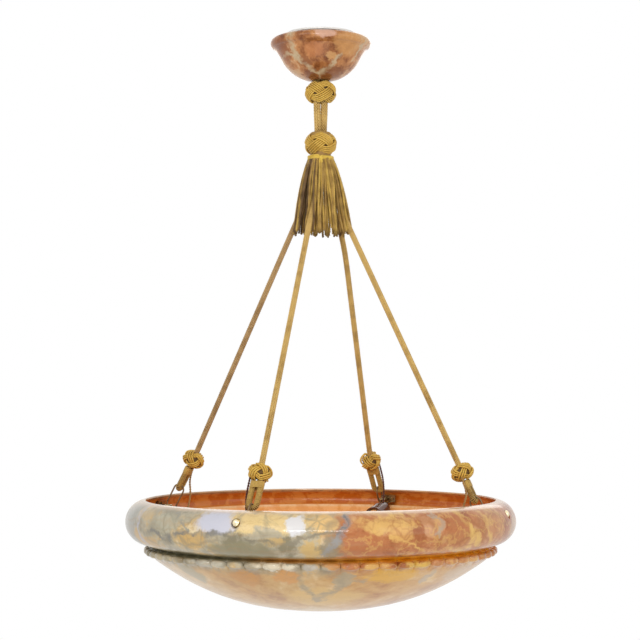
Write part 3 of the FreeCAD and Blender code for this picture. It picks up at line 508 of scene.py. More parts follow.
def vein_along(stone, flat, girth, route, width):
    """1 on a vein through (bearing, height) places on the map, and 0 away from it."""
    places = [Vector((math.radians(bearing) * girth, height * MM, 0)) for bearing, height in route]
    nearest = 1.0
    for start, end in zip(places, places[1:]):
        run = end - start
        along = stone.vector("SUBTRACT", stone.vector("MULTIPLY", flat, (1, 1, 0)), start)
        share = stone.node(
            "VectorMath", {"operation": "DOT_PRODUCT"}, {0: along, 1: run / run.length_squared}, output=1
        )
        share = stone.node("Clamp", None, {0: share})
        foot = stone.node("VectorMath", {"operation": "SCALE"}, {0: run, "Scale": share})
        gap = stone.node("VectorMath", {"operation": "DISTANCE"}, {0: along, 1: foot}, output=1)
        nearest = stone.node("Math", {"operation": "MINIMUM"}, {0: nearest, 1: gap})
    faint = stone.step(stone.noise(stone.place, 75, 3), 0.38, 0.56)
    return stone.step(nearest, width * MM, 0.15 * width * MM) * (0.45 + 0.55 * faint)


def marbled(stone, size, stops, streaks=0.35):
    """Drifting clouds of stone of about that size in metres, coloured from dark to light by the stops."""
    warp = stone.node("TexNoise", None, {"Vector": stone.place, "Scale": 0.5 / size, "Detail": 4.0}, output=1)
    warp = stone.node("VectorMath", {"operation": "SCALE"}, {0: warp, "Scale": size})
    bent = stone.vector("ADD", stone.place, warp)
    broad = stone.noise(bent, 0.6 / size, 5, 0.6)
    fine = stone.noise(bent, 3.2 / size, 5, 0.65)
    return stone.node("ValToRGB", {"stops": stops}, {0: (1 - streaks) * broad + streaks * fine}), bent, fine


CANOPY_GIRTH = 45 * MM
CANOPY_STONES = [
    (0.41, (0.18, 0.055, 0.014)), (0.46, (0.32, 0.115, 0.035)), (0.50, (0.43, 0.18, 0.06)),
    (0.54, (0.54, 0.23, 0.08)), (0.59, (0.66, 0.40, 0.20)),
]
# The small pale pink cloud at 6° and 575 mm is a painted highlight on the rolled edge.
CANOPY_CLOUDS = [
    (40, 566, 18, 13, (0.60, 0.30, 0.10)), (6, 575, 11, 5, (0.66, 0.40, 0.30)),
    (-62, 560, 15, 15, (0.28, 0.09, 0.03)), (-8, 557, 13, 9, (0.50, 0.19, 0.065)),
    (30, 533, 30, 8, (0.20, 0.06, 0.017)), (-24, 545, 7, 6, (0.26, 0.09, 0.03)),
    (-30, 531, 22, 4, (0.19, 0.06, 0.02)), (18, 549, 8, 5, (0.62, 0.34, 0.13)),
]
CANOPY_VEINS = [
    ([(-34, 579), (-41, 566), (-38, 552), (-33, 543), (-20, 536), (-5, 531)], 4.6),
    ([(-5, 531), (14, 536), (25, 543), (31, 553)], 4.2),
    ([(-38, 552), (-58, 557), (-80, 553)], 2.6),
    ([(60, 577), (66, 562), (58, 548)], 3.0),
    ([(120, 576), (112, 560), (126, 545), (118, 533)], 4.0),
]
PALE_VEIN = (0.56, 0.44, 0.27)


def canopy_alabaster():
    """Polished brown alabaster with a few pale tan veins."""
    stone = Coating("canopy_alabaster", Coat_Weight=0.4, Coat_Roughness=0.08, Specular_IOR_Level=0.1)
    colour, _, fine = marbled(stone, 0.028, CANOPY_STONES)
    flat = unrolled(stone, CANOPY_GIRTH, 1.2 * MM)
    for *where, tint in CANOPY_CLOUDS:
        colour = stone.blend(0.7 * cloud_at(stone, flat, CANOPY_GIRTH, *where), colour, tint)
    for route, width in CANOPY_VEINS:
        colour = stone.blend(0.8 * vein_along(stone, flat, CANOPY_GIRTH, route, width), colour, PALE_VEIN)
    return stone.paint(colour, 0.34 - 0.1 * fine, fine, 0.0001)


coat(["alabaster_canopy"], canopy_alabaster())


# ---- Woven knots ----
# Each is a ball of parallel cords, led three times round a core over and under themselves, in four bights.
# The upper one holds the canopy up on the twin rope, and the lower one covers the tassel's wooden core.
BIGHTS = 4
LEADS = 3
KNOT_POINTS = 330
PADDING_POINTS = 17
KNOT_RELIEF = 0.55           # how far a cord rides over or under, as a share of the space it takes
gold_cord = cord_gold("gold_cord", (0.72, 0.46, 0.085), (0.48, 0.27, 0.035), 0.42)


def spun(name, outline, steps, material):
    """A closed outline of (radius, height) points, turned round the upright axis as on a lathe."""
    bpy.ops.object.select_all(action="DESELECT")
    bpy.ops.mesh.primitive_circle_add(vertices=len(outline))
    piece = bpy.context.object
    piece.name = name
    for vertex, (radius, height) in zip(piece.data.vertices, outline):
        vertex.co = (radius, 0, height)
    bpy.ops.object.mode_set(mode="EDIT")
    bpy.ops.mesh.select_all(action="SELECT")
    bpy.ops.mesh.spin(steps=steps, angle=2 * math.pi, center=(0, 0, 0), axis=(0, 0, 1))
    bpy.ops.mesh.select_all(action="SELECT")
    bpy.ops.mesh.remove_doubles(threshold=0.001 * MM)
    bpy.ops.mesh.delete_loose()
    bpy.ops.mesh.select_all(action="SELECT")
    bpy.ops.mesh.normals_make_consistent(inside=False)
    bpy.ops.object.mode_set(mode="OBJECT")
    bpy.ops.object.shade_smooth()
    piece.data.materials.append(material)
    return piece


def woven_knot(name, centre, axis, radius, height, core, cords, thickness, turn):
    """A ball knot round a core, its flat ends square to the axis."""
    ball = radius - thickness
    limit = math.acos(core / ball)
    squash = (height / 2 - thickness) / (ball * math.sin(limit))
    per_radian = ball * math.sqrt((1 + squash ** 2) / 2)
    band = (cords - 1) / 2 * thickness
    reach = limit * per_radian - band
    facing = UP.rotation_difference(axis).to_matrix()
    strands = Strands(name, 0.78 * thickness, sides=8)
    for cord in range(cords):
        aside = (cord - (cords - 1) / 2) * thickness
        points = []
        for n in range(KNOT_POINTS):
            phi = 2 * math.pi * LEADS * n / KNOT_POINTS
            wave = BIGHTS * phi / LEADS
            latitude = reach * math.cos(wave) / per_radian
            girth = ball * math.cos(latitude)
            direction = Vector((girth, -reach * BIGHTS / LEADS * math.sin(wave))).normalized()
            latitude += aside * direction.x / per_radian
            bearing = phi - aside * direction.y / girth + turn
            over = max(-1.0, min(1.0, 1.9 * math.sin(2 * wave)))
            r = ball + KNOT_RELIEF * thickness * over
            height_above = r * squash * math.sin(latitude)
            points.append(centre + facing @ at_turn(r * math.cos(latitude), bearing, height_above))
        strands.add(points, closed=True)
    knot = strands.made(gold_cord)
    # The padding under the cords is painted shade: dark, so that the gaps between the cords look shaded.
    inside = ball - 0.75 * thickness
    limit = math.acos(core / inside)
    end = squash * inside * math.sin(limit)
    outline = [(0.9 * core, -end), (0.9 * core, end)]
    for n in range(PADDING_POINTS):
        latitude = limit * (1 - 2 * n / (PADDING_POINTS - 1))
        outline.append((inside * math.cos(latitude), squash * inside * math.sin(latitude)))
    under = spun(name + "_padding", outline, 48, painted_shade_core)
    under.data.transform(Matrix.Translation(centre) @ facing.to_4x4())
    join([knot, under])
    return knot


canopy_knot = woven_knot(
    "woven_canopy_knot", Vector((0, 0, rim(514.15 * MM))), UP,
    radius=19.6 * MM, height=28.2 * MM, core=9.3 * MM, cords=5, thickness=2.35 * MM, turn=math.radians(20),
)
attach(canopy_knot, "canopy")
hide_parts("canopy_knot")

tassel_knot = woven_knot(
    "woven_tassel_knot", Vector((0, 0, rim(451.25 * MM))), UP,
    radius=20 * MM, height=29.5 * MM, core=10.0 * MM, cords=5, thickness=2.45 * MM, turn=math.radians(65),
)
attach(tassel_knot, "pendant")
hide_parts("tassel_knot")


# ---- Tassel mould, fringe and tie ----
# A turned and stained wooden core, glued round the ropes; over its neck hangs a fringe of two-ply cords,
# bound on with three turns of yarn that are knotted in front.
def turned_wood():
    wood = Coating("turned_wood")
    stretched = wood.node("Mapping", None, {"Vector": wood.place, "Scale": (1, 1, 0.12)})
    grain = wood.noise(stretched, 500, 4, 0.6)
    colour = wood.blend(grain, (0.28, 0.155, 0.035), (0.42, 0.25, 0.06))
    return wood.paint(colour, 0.55 + 0.15 * grain, grain, 0.0002)


coat(["tassel_mould"], turned_wood())

ROPES = {
    "left": {"bearing": 160.5, "knot_r": 165.6, "knot_h": 70.0, "link": 32.0, "holder_h": -10.0},
    "front": {"bearing": -113.5, "knot_r": 167.8, "knot_h": 63.5, "link": 23.0, "holder_h": -10.0},
    "back": {"bearing": 66.4, "knot_r": 160.6, "knot_h": 64.5, "link": 23.0, "holder_h": 2.5},
    "right": {"bearing": -20.0, "knot_r": 174.6, "knot_h": 59.8, "link": 23.0, "holder_h": -10.0},
}
ROPE_R = 3.65 * MM
ROPE_BUNDLE_R = 5.3 * MM
ROPE_SPREAD_H = 413.7 * MM
# Local points of each route past its start: x outwards, y sideways and height, in millimetres.
# The second one keeps the long run straight, and the back rope leaves the fringe to one side.
ROPE_POINTS = {
    "left": [(21.1, 0, 379.9)],
    "front": [(21.0, 0, 379.9)],
    "back": [(20.2, -6.1, 379.9), (38.6, -13.7, 338.0), (72.7, -9.9, 261.6)],
    "right": [(21.4, 0, 380.1)],
}


def placed(rope, x, y, height):
    """A point given outwards, sideways and up from the rim's centre, turned to the rope's bearing."""
    return Matrix.Rotation(math.radians(rope["bearing"]), 3, "Z") @ Vector((x, y, rim(height)))


def knot_at(rope):
    return placed(rope, rope["knot_r"] * MM, 0, rope["knot_h"] * MM)


rope_lines = {}
for side, rope in ROPES.items():
    route = [placed(rope, ROPE_BUNDLE_R, 0, 451 * MM), placed(rope, ROPE_BUNDLE_R, 0, ROPE_SPREAD_H)]
    route += [placed(rope, x * MM, y * MM, h * MM) for x, y, h in ROPE_POINTS[side]]
    rope_lines[side] = smooth_line(route + [knot_at(rope)])

FRINGE_CORDS = 96
FRINGE_PLY = 1.5 * MM
FRINGE_LAY = 4.4 * MM
POINTS_PER_LAY = 5
FRINGE_TOP_H = 436 * MM
FRINGE_CLEARANCE = 5.3 * MM
FRINGE_LEAN = 4 * MM           # it hangs fuller on the right
FRINGE_END_H = 347 * MM        # the cut ends below here are dark with dust
# How each cord is drawn by chance, in millimetres and radians: the radius of its end, in the outer layer
# and inside it, the height of its end, and how far it sways, bows and waves.
OUTER_END_R = (29, 35)
INNER_END_R = (12, 27)
END_HEIGHT = (340.5, 347)
OUTER_NECK_R = 13.4 * MM
INNER_NECK_R = 12.0 * MM
SWAY = (-0.10, 0.10)
BOW = (-1.0, 2.6)
WAVE = (-0.07, 0.07)
FLARE_POWER = 0.75
ROUTE_SHARES = (0.0, 0.12, 0.3, 0.5, 0.7, 0.88, 1.0)
chance = random.Random(7)


def fringe_cord(name, light, dark):
    """Two-ply fringe cord, darker towards its cut end."""
    silk = Coating(name, Sheen_Weight=0.08, Sheen_Roughness=0.4, Specular_IOR_Level=0.3)
    worn = silk.noise(silk.place, 75, 4, 0.6)
    fibres = silk.noise(silk.place, 1500, 3, 0.7)
    z = silk.node("SeparateXYZ", None, {0: silk.place}, output=2)
    cut_end = silk.step(z + 0.012 * worn, rim(FRINGE_END_H + 6 * MM), rim(FRINGE_END_H))
    colour = silk.blend(silk.step(worn, 0.35, 0.7), light, dark)
    colour = silk.blend(silk.step(fibres, 0.45, 0.75) * 0.4, colour, dark)
    colour = silk.blend(0.6 * cut_end, colour, (0.10, 0.055, 0.02))
    return silk.paint(colour, 0.75 - 0.1 * fibres, fibres, 0.00012)


def clear_of_ropes(point):
    """The point, pushed level out of the way of the four ropes."""
    for line in rope_lines.values():
        nearest = min(line, key=lambda p: abs(p.z - point.z))
        gap = Vector((point.x - nearest.x, point.y - nearest.y, 0))
        if nearest.xy.length > 12 * MM and gap.length < FRINGE_CLEARANCE:
            gap = gap.normalized() * FRINGE_CLEARANCE
            point = Vector((nearest.x + gap.x, nearest.y + gap.y, point.z))
    return point


FRINGE_SHADES = {
    "gold": fringe_cord("gold_fringe", (0.72, 0.49, 0.115), (0.42, 0.25, 0.05)),
    "brown": fringe_cord("brown_fringe", (0.54, 0.34, 0.09), (0.27, 0.155, 0.04)),
    "dark": fringe_cord("dark_fringe", (0.24, 0.14, 0.055), (0.10, 0.055, 0.022)),
}
fringe_cords = {
    shade: Strands("fringe_cords" if shade == "gold" else "fringe_" + shade, FRINGE_PLY, sides=4)
    for shade in FRINGE_SHADES
}
for k in range(FRINGE_CORDS):
    outer = k % 3 != 0
    bearing = (k * math.pi * (3 - math.sqrt(5)) + chance.uniform(-0.05, 0.05)) % (2 * math.pi)
    low_r = chance.uniform(*OUTER_END_R) * MM if outer else chance.uniform(*INNER_END_R) * MM
    low_r += FRINGE_LEAN * max(0.0, math.cos(bearing))
    low_h = chance.uniform(*END_HEIGHT) * MM
    neck_r = OUTER_NECK_R if outer else INNER_NECK_R
    sway = chance.uniform(*SWAY)
    bow = chance.uniform(*BOW) * MM
    wave = chance.uniform(*WAVE)
    route = []
    for share in ROUTE_SHARES:
        r = neck_r + (low_r - neck_r) * share ** FLARE_POWER + bow * math.sin(math.pi * share)
        height = FRINGE_TOP_H + (low_h - FRINGE_TOP_H) * share
        turn = bearing + sway * share ** 2 + wave * math.sin(2 * math.pi * share)
        route.append(clear_of_ropes(at_turn(r, turn, rim(height))))
    on_left = math.cos(bearing) < -0.75
    shade = "dark" if chance.random() < (0.45 if on_left else 0.1) else ("brown" if k % 2 else "gold")
    lay_up(fringe_cords[shade], smooth_line(route), FRINGE_PLY, FRINGE_LAY, POINTS_PER_LAY)
fringe = join([fringe_cords[shade].made(finish) for shade, finish in FRINGE_SHADES.items()])
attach(fringe, "pendant")
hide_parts("tassel_skirt")

TIE_R = 15.2 * MM
TIE_H = 434 * MM
TIE_YARN = 1.7 * MM
TIE_PITCH = 0.95 * TIE_YARN
TIE_TURNS = 3
TIE_POINTS = 40              # in each turn
TIE_START = 1.7              # radians
tie = Strands("yarn_tie", TIE_YARN, sides=8)
tie.add([
    at_turn(TIE_R, 2 * math.pi * turn - TIE_START, rim(TIE_H + (turn - TIE_TURNS / 2) * TIE_PITCH))
    for turn in [n / TIE_POINTS for n in range(TIE_POINTS * TIE_TURNS + 1)]
])
bow_at = at_turn(TIE_R + 1.6 * MM, math.radians(-88), rim(TIE_H - 0.5 * MM))
tie.add([
    bow_at + Vector((
        1.6 * MM * math.sin(2 * t),
        -0.6 * MM * math.cos(3 * t),
        1.7 * MM * math.cos(t) * math.sin(2 * t) + 0.8 * MM * math.cos(t),
    ))
    for t in [2 * math.pi * n / 36 for n in range(36)]
], closed=True)
for aside, drop in ((-1.8, 6.5), (1.3, 8.0)):
    tie.add([
        bow_at + MM * Vector((aside * share ** 0.7, -0.8 * math.sin(math.pi * share), -drop * share))
        for share in [n / 8 for n in range(9)]
    ])
tie = tie.made(cord_gold("yellow_yarn", (0.78, 0.55, 0.09), (0.55, 0.36, 0.05), 0.4))
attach(tie, "pendant")
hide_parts("tassel_tie")


# ---- Four ropes and their knots ----
# Braided ropes of sixteen yarns run from the tassel's core to a ball knot each, above the bowl's rim.
# The left one has aged to a darker brown than the others.
brown_rope = cord_gold("brown_rope", (0.52, 0.34, 0.15), (0.28, 0.16, 0.06))
for side, rope in ROPES.items():
    line = rope_lines[side]
    piece = braided_rope("braided_rope_" + side, line, ROPE_R, brown_rope if side == "left" else gold_rope)
    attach(piece, "pendant")
    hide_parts("rope_" + side)
    placed(rope, ROPE_BUNDLE_R, 0, 430 * MM)

EYE_HOLD = (196.4 * MM, 0, 12.5 * MM)
KNOT_R = 14.5 * MM
KNOT_HEIGHT = 22 * MM
KNOT_TURNS = {"left": 0.2, "front": 0.9, "back": 0.5, "right": 1.3}


def below(rope, along, sideways=0.0, outwards=0.0):
    """A point that far down from the knot's centre towards the eye bolt, sideways and outwards of it."""
    start = Vector((rope["knot_r"] * MM, 0, rope["knot_h"] * MM))
    down = (Vector(EYE_HOLD) - start).normalized()
    out = Vector((-down.z, 0, down.x))
    point = start + down * along + Vector((0, sideways, 0)) + out * outwards
    return placed(rope, *point)


for side, rope in ROPES.items():
    knot = woven_knot(
        "woven_rope_knot_" + side, knot_at(rope), (below(rope, 0) - below(rope, 1)).normalized(),
        radius=KNOT_R, height=KNOT_HEIGHT, core=3.6 * MM, cords=3, thickness=2.5 * MM, turn=KNOT_TURNS[side],
    )
    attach(knot, "pendant")
    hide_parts("rope_knot_" + side)


# ---- Served eyes and whippings ----
# Under each knot the rope's end turns back into an eye, served with yarn from end to end,
# and a whipping of the same yarn binds its two legs together close under the knot.
EYE_BEND_R = 5.0 * MM
EYE_LEG_R = 3.6 * MM
SERVING = 1.25 * MM
SERVING_PITCH = 1.15         # shares of the yarn's thickness
SERVING_POINTS = 12          # in each turn
eye_yarn = cord_gold("eye_yarn", (0.60, 0.39, 0.10), (0.32, 0.18, 0.05), 0.3)
EYE_PAST_LINK = 2.7 * MM        # from the far end of the link to the bend's middle, past the eye bolt's wire


def eye_bend_along(rope):
    """How far down from the knot the eye's bend lies, so that its link reaches the eye bolt."""
    reach = (Vector(EYE_HOLD) - Vector((rope["knot_r"] * MM, 0, rope["knot_h"] * MM))).length
    return reach - rope["link"] * MM + EYE_PAST_LINK


def served_eye(side, rope):
    """A rope's end bent into a U, with yarn wound closely round it."""
    bend = eye_bend_along(rope)
    start = KNOT_HEIGHT / 2 - 1 * MM
    line = [below(rope, start, -EYE_BEND_R), below(rope, bend, -EYE_BEND_R)]
    for n in range(1, 12):
        angle = math.pi * n / 12
        line.append(below(rope, bend + EYE_BEND_R * math.sin(angle), -EYE_BEND_R * math.cos(angle)))
    line += [below(rope, bend, EYE_BEND_R), below(rope, start, EYE_BEND_R)]
    total = length_of(line)
    # The eye's core is painted shade: dark where it shows between the turns of yarn.
    core = Strands("eye_core_" + side, 2 * (EYE_LEG_R - 0.45 * SERVING), sides=10)
    core.add([place[0] for place in stations(line, 50)])
    core = core.made(painted_shade_core)
    yarn = Strands("served_eye_" + side, SERVING, sides=4)
    count = int(total / (SERVING_PITCH * SERVING)) * SERVING_POINTS
    wound = []
    for n, (point, across, beside) in enumerate(stations(line, count)):
        turn = 2 * math.pi * n / SERVING_POINTS
        wound.append(point + (across * math.cos(turn) + beside * math.sin(turn)) * (EYE_LEG_R - SERVING / 2))
    yarn.add(wound)
    return join([yarn.made(eye_yarn), core])


WHIPPING_LENGTH = 8 * MM
WHIPPING_YARN = 1.3 * MM
WHIPPING_POINTS = 24         # in each turn
whipping = Strands("whipping_yarn", WHIPPING_YARN, sides=6)
for side, rope in ROPES.items():
    eye = served_eye(side, rope)
    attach(eye, "pendant")
    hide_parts("rope_eye_" + side)
    turns = int(WHIPPING_LENGTH / WHIPPING_YARN)
    points = []
    for n in range(turns * WHIPPING_POINTS + 1):
        angle = 2 * math.pi * n / WHIPPING_POINTS
        along = KNOT_HEIGHT / 2 + WHIPPING_YARN / 2 + n / WHIPPING_POINTS * WHIPPING_YARN
        points.append(below(
            rope, along, EYE_BEND_R * 0.86 * math.copysign(1, math.cos(angle)) * abs(math.cos(angle)) ** 0.5
            + (EYE_LEG_R + 0.2 * MM) * math.cos(angle), (EYE_LEG_R + 0.4 * MM) * math.sin(angle)
        ))
    whipping.add(points)
whipping = whipping.made(eye_yarn)
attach(whipping, "pendant")
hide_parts("rope_whippings")


# ---- Wire links, eye bolts, nuts and washers ----
# Bent wire links join each eye to an eye bolt in the rim. The bolts, nuts and washers are old brass,
# bright on the dome nuts and dark brown on the rest.
def iron_wire():
    wire = Coating("iron_wire", Metallic=0.85)
    rust = wire.noise(wire.place, 300, 4, 0.6)
    colour = wire.blend(rust, (0.16, 0.11, 0.065), (0.34, 0.22, 0.11))
    return wire.paint(colour, 0.42 + 0.3 * rust, rust, 0.0001)


coat(["rope_link_" + side for side in ROPES], iron_wire())
coat(["dome_nuts"], brass("bright_brass", (0.92, 0.80, 0.52), (0.55, 0.42, 0.2), -0.06))
coat(["rim_washers"], brass("dark_brass", (0.24, 0.18, 0.09), (0.10, 0.075, 0.04), 0.0))
aged_brass = brass("aged_brass", (0.30, 0.21, 0.10), (0.10, 0.062, 0.03), 0.06)
coat(["eye_bolts", "bracket_nuts", "inner_nuts", "inner_washers", "holder_nuts"], aged_brass)
coat(["lamp_bracket_" + side for side in ROPES], aged_brass)


# ---- Lampholders ----
# Two-part holders moulded in dark brown plastic, screwed to a bent brass strip on each eye bolt.
# Inside are a brass screw shell and a porcelain block with the centre contact.
def brown_plastic():
    moulding = Coating("brown_plastic", Coat_Weight=0.12, Coat_Roughness=0.15, Specular_IOR_Level=0.35)
    mottle = moulding.noise(moulding.place, 240, 4, 0.6)
    dust = moulding.step(moulding.noise(moulding.place, 90, 3), 0.55, 0.75)
    colour = moulding.blend(mottle, (0.075, 0.022, 0.008), (0.125, 0.04, 0.014))
    colour = moulding.blend(dust * 0.25, colour, (0.25, 0.14, 0.07))
    return moulding.paint(colour, 0.2 + 0.25 * dust, mottle, 0.00006)


plastic = brown_plastic()
coat([part + side for part in ("lampholder_cap_", "lampholder_body_") for side in ROPES], plastic)
socket_brass = brass("socket_brass", (0.80, 0.58, 0.25), (0.5, 0.33, 0.13), 0.0)
coat(["lamp_socket_" + side for side in ROPES], socket_brass)
coat(["contact_blocks"], porcelain())

# ---- Lamp flexes ----
# Two covered wires twisted together come out of each knot and go into the cap of its lampholder.
FLEX_R = 1.3 * MM
FLEX_LAY = 6 * MM
FLEX_POINTS_PER_LAY = 10
HOLDER_TILT = math.radians(12)
HOLDER_REAR = (185.4 * MM, -10 * MM)
CAP_HOLE_ALONG = 6.5 * MM
CAP_R = 8.5 * MM
maroon_wire = covered_wire("maroon_wire", (0.12, 0.032, 0.016), (0.05, 0.014, 0.01))
FLEX_FINISHES = {"left": ochre_wire, "front": maroon_wire, "back": maroon_wire, "right": ochre_wire}
for side, rope in ROPES.items():
    hole = Vector((
        HOLDER_REAR[0] - math.cos(HOLDER_TILT) * CAP_HOLE_ALONG, HOLDER_REAR[1],
        rope["holder_h"] * MM - math.sin(HOLDER_TILT) * CAP_HOLE_ALONG + CAP_R,
    ))
    cap_hole = placed(rope, *hole)
    knot_exit = below(rope, 24 * MM, -11.2 * MM)
    slack = placed(rope, -3.0 * MM, -2.5 * MM, 2 * MM) - placed(rope, 0, 0, 0)
    above_cap = placed(rope, 0, -0.6 * MM, 9 * MM) - placed(rope, 0, 0, 0)
    flex_line = smooth_line([
        below(rope, 3 * MM, -10.6 * MM),
        knot_exit,
        (knot_exit + cap_hole) / 2 + slack,
        cap_hole + above_cap,
        cap_hole - Vector((0, 0, 1.2 * MM)),
    ])
    flex = Strands("twisted_flex_" + side, FLEX_R, sides=8)
    lay_up(flex, flex_line, FLEX_R, FLEX_LAY, FLEX_POINTS_PER_LAY)
    flex = flex.made(FLEX_FINISHES[side])
    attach(flex, "pendant")
    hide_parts("lamp_flex_" + side)


# ---- Alabaster bowl ----
# One stone, turned: a half-round rim with a gutter behind it, a band of beads, and a shallow bowl.
# Its left is grey, cream and honey, and its right terracotta with yellow flames. Its inside is painted with
# the orange glow of light through the stone.
RIM_CENTRE_R = 206.9 * MM
RIM_SECTION_R = 25.1 * MM
RIM_CREST_R = 208.3 * MM
GUTTER_R = 11 * MM
GUTTER_CENTRE = (204.6 * MM, 13 * MM)
GUTTER_INNER = (195 * MM, 5.6 * MM)
WALL_UNDER_LIP = (193.6 * MM, -8 * MM)
COVE_ABOVE_BEADS = (201 * MM, -28.2 * MM)
COVE_BELOW_BEADS = (200.6 * MM, -39.8 * MM)
BEAD_CENTRE = (206 * MM, -34.1 * MM)
BEAD_SECTION_R = 4.2 * MM
BEAD_FOOT_R = 203.0 * MM
BEAD_COUNT = 60
BEAD_STEPS = 12
BEAD_FULLNESS = 2.15          # 2 would be an oval, and more is squarer
BOWL_OUTSIDE = (196.3 * MM, -44 * MM, 60 * MM)      # radius and height of the shoulder, and depth under it
BOWL_INSIDE = (187.4 * MM, -36.5 * MM, 55.5 * MM)
BOWL_POWER = 2.45
INNER_SEAT_R = 215.5 * MM
OUTER_SEAT_R = 224.8 * MM
SPOT_FACE_R = 5.4 * MM
BOLT_HOLE_R = 2.2 * MM
SPOT_FACE_REACH = 12 * MM


def section_arc(centre, radius, start, end, count):
    """Points of a (radius, height) arc, in degrees counted up from outwards."""
    angles = [math.radians(start + (end - start) * n / (count - 1)) for n in range(count)]
    return [(centre[0] + radius * math.cos(a), centre[1] + radius * math.sin(a)) for a in angles]


def bowl_line(shoulder_r, shoulder_h, depth, count):
    """Points of the shallow bowl from its shoulder to the axis."""
    shares = [math.cos(math.pi / 2 * n / (count - 1)) for n in range(count)]
    return [(shoulder_r * share, shoulder_h - depth * (1 - share ** BOWL_POWER)) for share in shares]


crest_angle = math.degrees(math.acos((RIM_CREST_R - RIM_CENTRE_R) / RIM_SECTION_R))
bead_half_angle = math.degrees(math.acos(-1.45 * MM / BEAD_SECTION_R))
bowl_outline = section_arc((RIM_CENTRE_R, 0), RIM_SECTION_R, crest_angle, -80, 28)
bowl_outline += [COVE_ABOVE_BEADS]
bowl_outline += section_arc(BEAD_CENTRE, BEAD_SECTION_R, bead_half_angle, -bead_half_angle, 13)
bowl_outline += [COVE_BELOW_BEADS]
bowl_outline += bowl_line(*BOWL_OUTSIDE, 17)
bowl_outline += bowl_line(*BOWL_INSIDE, 12)[::-1]
bowl_outline += [WALL_UNDER_LIP, GUTTER_INNER]
bowl_outline += section_arc(GUTTER_CENTRE, GUTTER_R, -137, 72, 14)


BOWL_GIRTH = 225 * MM
COOL_STONES = [
    (0.41, (0.25, 0.215, 0.13)), (0.455, (0.40, 0.355, 0.255)), (0.495, (0.50, 0.43, 0.29)),
    (0.535, (0.60, 0.41, 0.18)), (0.58, (0.80, 0.64, 0.38)),
]
WARM_STONES = [
    (0.41, (0.33, 0.095, 0.025)), (0.455, (0.46, 0.155, 0.05)), (0.50, (0.54, 0.22, 0.08)),
    (0.54, (0.63, 0.33, 0.15)), (0.585, (0.75, 0.47, 0.14)),
]
LOW_STONES = [
    (0.41, (0.45, 0.19, 0.035)), (0.455, (0.56, 0.28, 0.065)), (0.50, (0.63, 0.35, 0.10)),
    (0.54, (0.67, 0.40, 0.14)), (0.585, (0.75, 0.51, 0.24)),
]
# Clouds on the rim, on the beads and on the shallow bowl: bearing from the front in degrees, height,
# half width and half height in millimetres, and colour.
BOWL_CLOUDS = [
    (-72, 0, 36, 27, (0.36, 0.35, 0.30)), (-49, 9, 26, 13, (0.50, 0.46, 0.33)),
    (-60, 16, 14, 7, (0.60, 0.44, 0.22)), (-64, -12, 16, 9, (0.60, 0.38, 0.13)),
    (-38, -7, 20, 10, (0.60, 0.38, 0.13)), (-13, -6, 13, 6, (0.56, 0.37, 0.14)),
    (-16, 14, 58, 12, (0.85, 0.62, 0.27)), (1, 13, 14, 10, (0.80, 0.52, 0.20)),
    (-22, -17, 42, 10, (0.27, 0.24, 0.14)), (-3, -15, 14, 9, (0.60, 0.40, 0.14)),
    (3, -13, 15, 12, (0.27, 0.215, 0.13)), (11, -12, 24, 15, (0.48, 0.165, 0.055)),
    (18, 11, 34, 9, (0.74, 0.45, 0.14)), (22, 0, 17, 9, (0.72, 0.40, 0.12)),
    (32, 9, 16, 13, (0.64, 0.33, 0.16)), (41, 2, 18, 19, (0.48, 0.165, 0.055)),
    (60, 4, 18, 16, (0.56, 0.24, 0.09)), (74, -6, 18, 18, (0.53, 0.35, 0.22)),
    (-58, -16, 18, 8, (0.55, 0.36, 0.15)), (-15, 2, 14, 7, (0.44, 0.39, 0.28)),
    (-14, -34, 26, 5, (0.82, 0.74, 0.56)), (-36, -34, 30, 5, (0.50, 0.47, 0.38)),
    (-3, -34, 9, 5, (0.50, 0.46, 0.40)), (4, -34, 12, 5, (0.64, 0.27, 0.06)),
    (16, -34, 16, 5, (0.72, 0.42, 0.12)), (31, -34, 20, 5, (0.74, 0.48, 0.10)),
    (49, -34, 22, 5, (0.66, 0.33, 0.12)), (24, -47, 36, 9, (0.72, 0.38, 0.035)),
    (-50, -50, 20, 12, (0.40, 0.34, 0.21)), (7, -52, 12, 8, (0.42, 0.33, 0.20)),
    (-11, -47, 19, 9, (0.64, 0.30, 0.08)), (-26, -49, 22, 9, (0.58, 0.27, 0.06)),
    (55, -50, 30, 12, (0.60, 0.40, 0.22)),
    (2, -74, 70, 12, (0.70, 0.44, 0.14)), (39, -51, 10, 6, (0.50, 0.38, 0.26)),
]
# Smooth pale patches that hide the fine veins, given as the clouds are.
BOWL_PATCHES = [(-30, 12, 24, 14, (0.60, 0.60, 0.68)), (-6.5, 11, 12, 11, (0.74, 0.72, 0.72))]
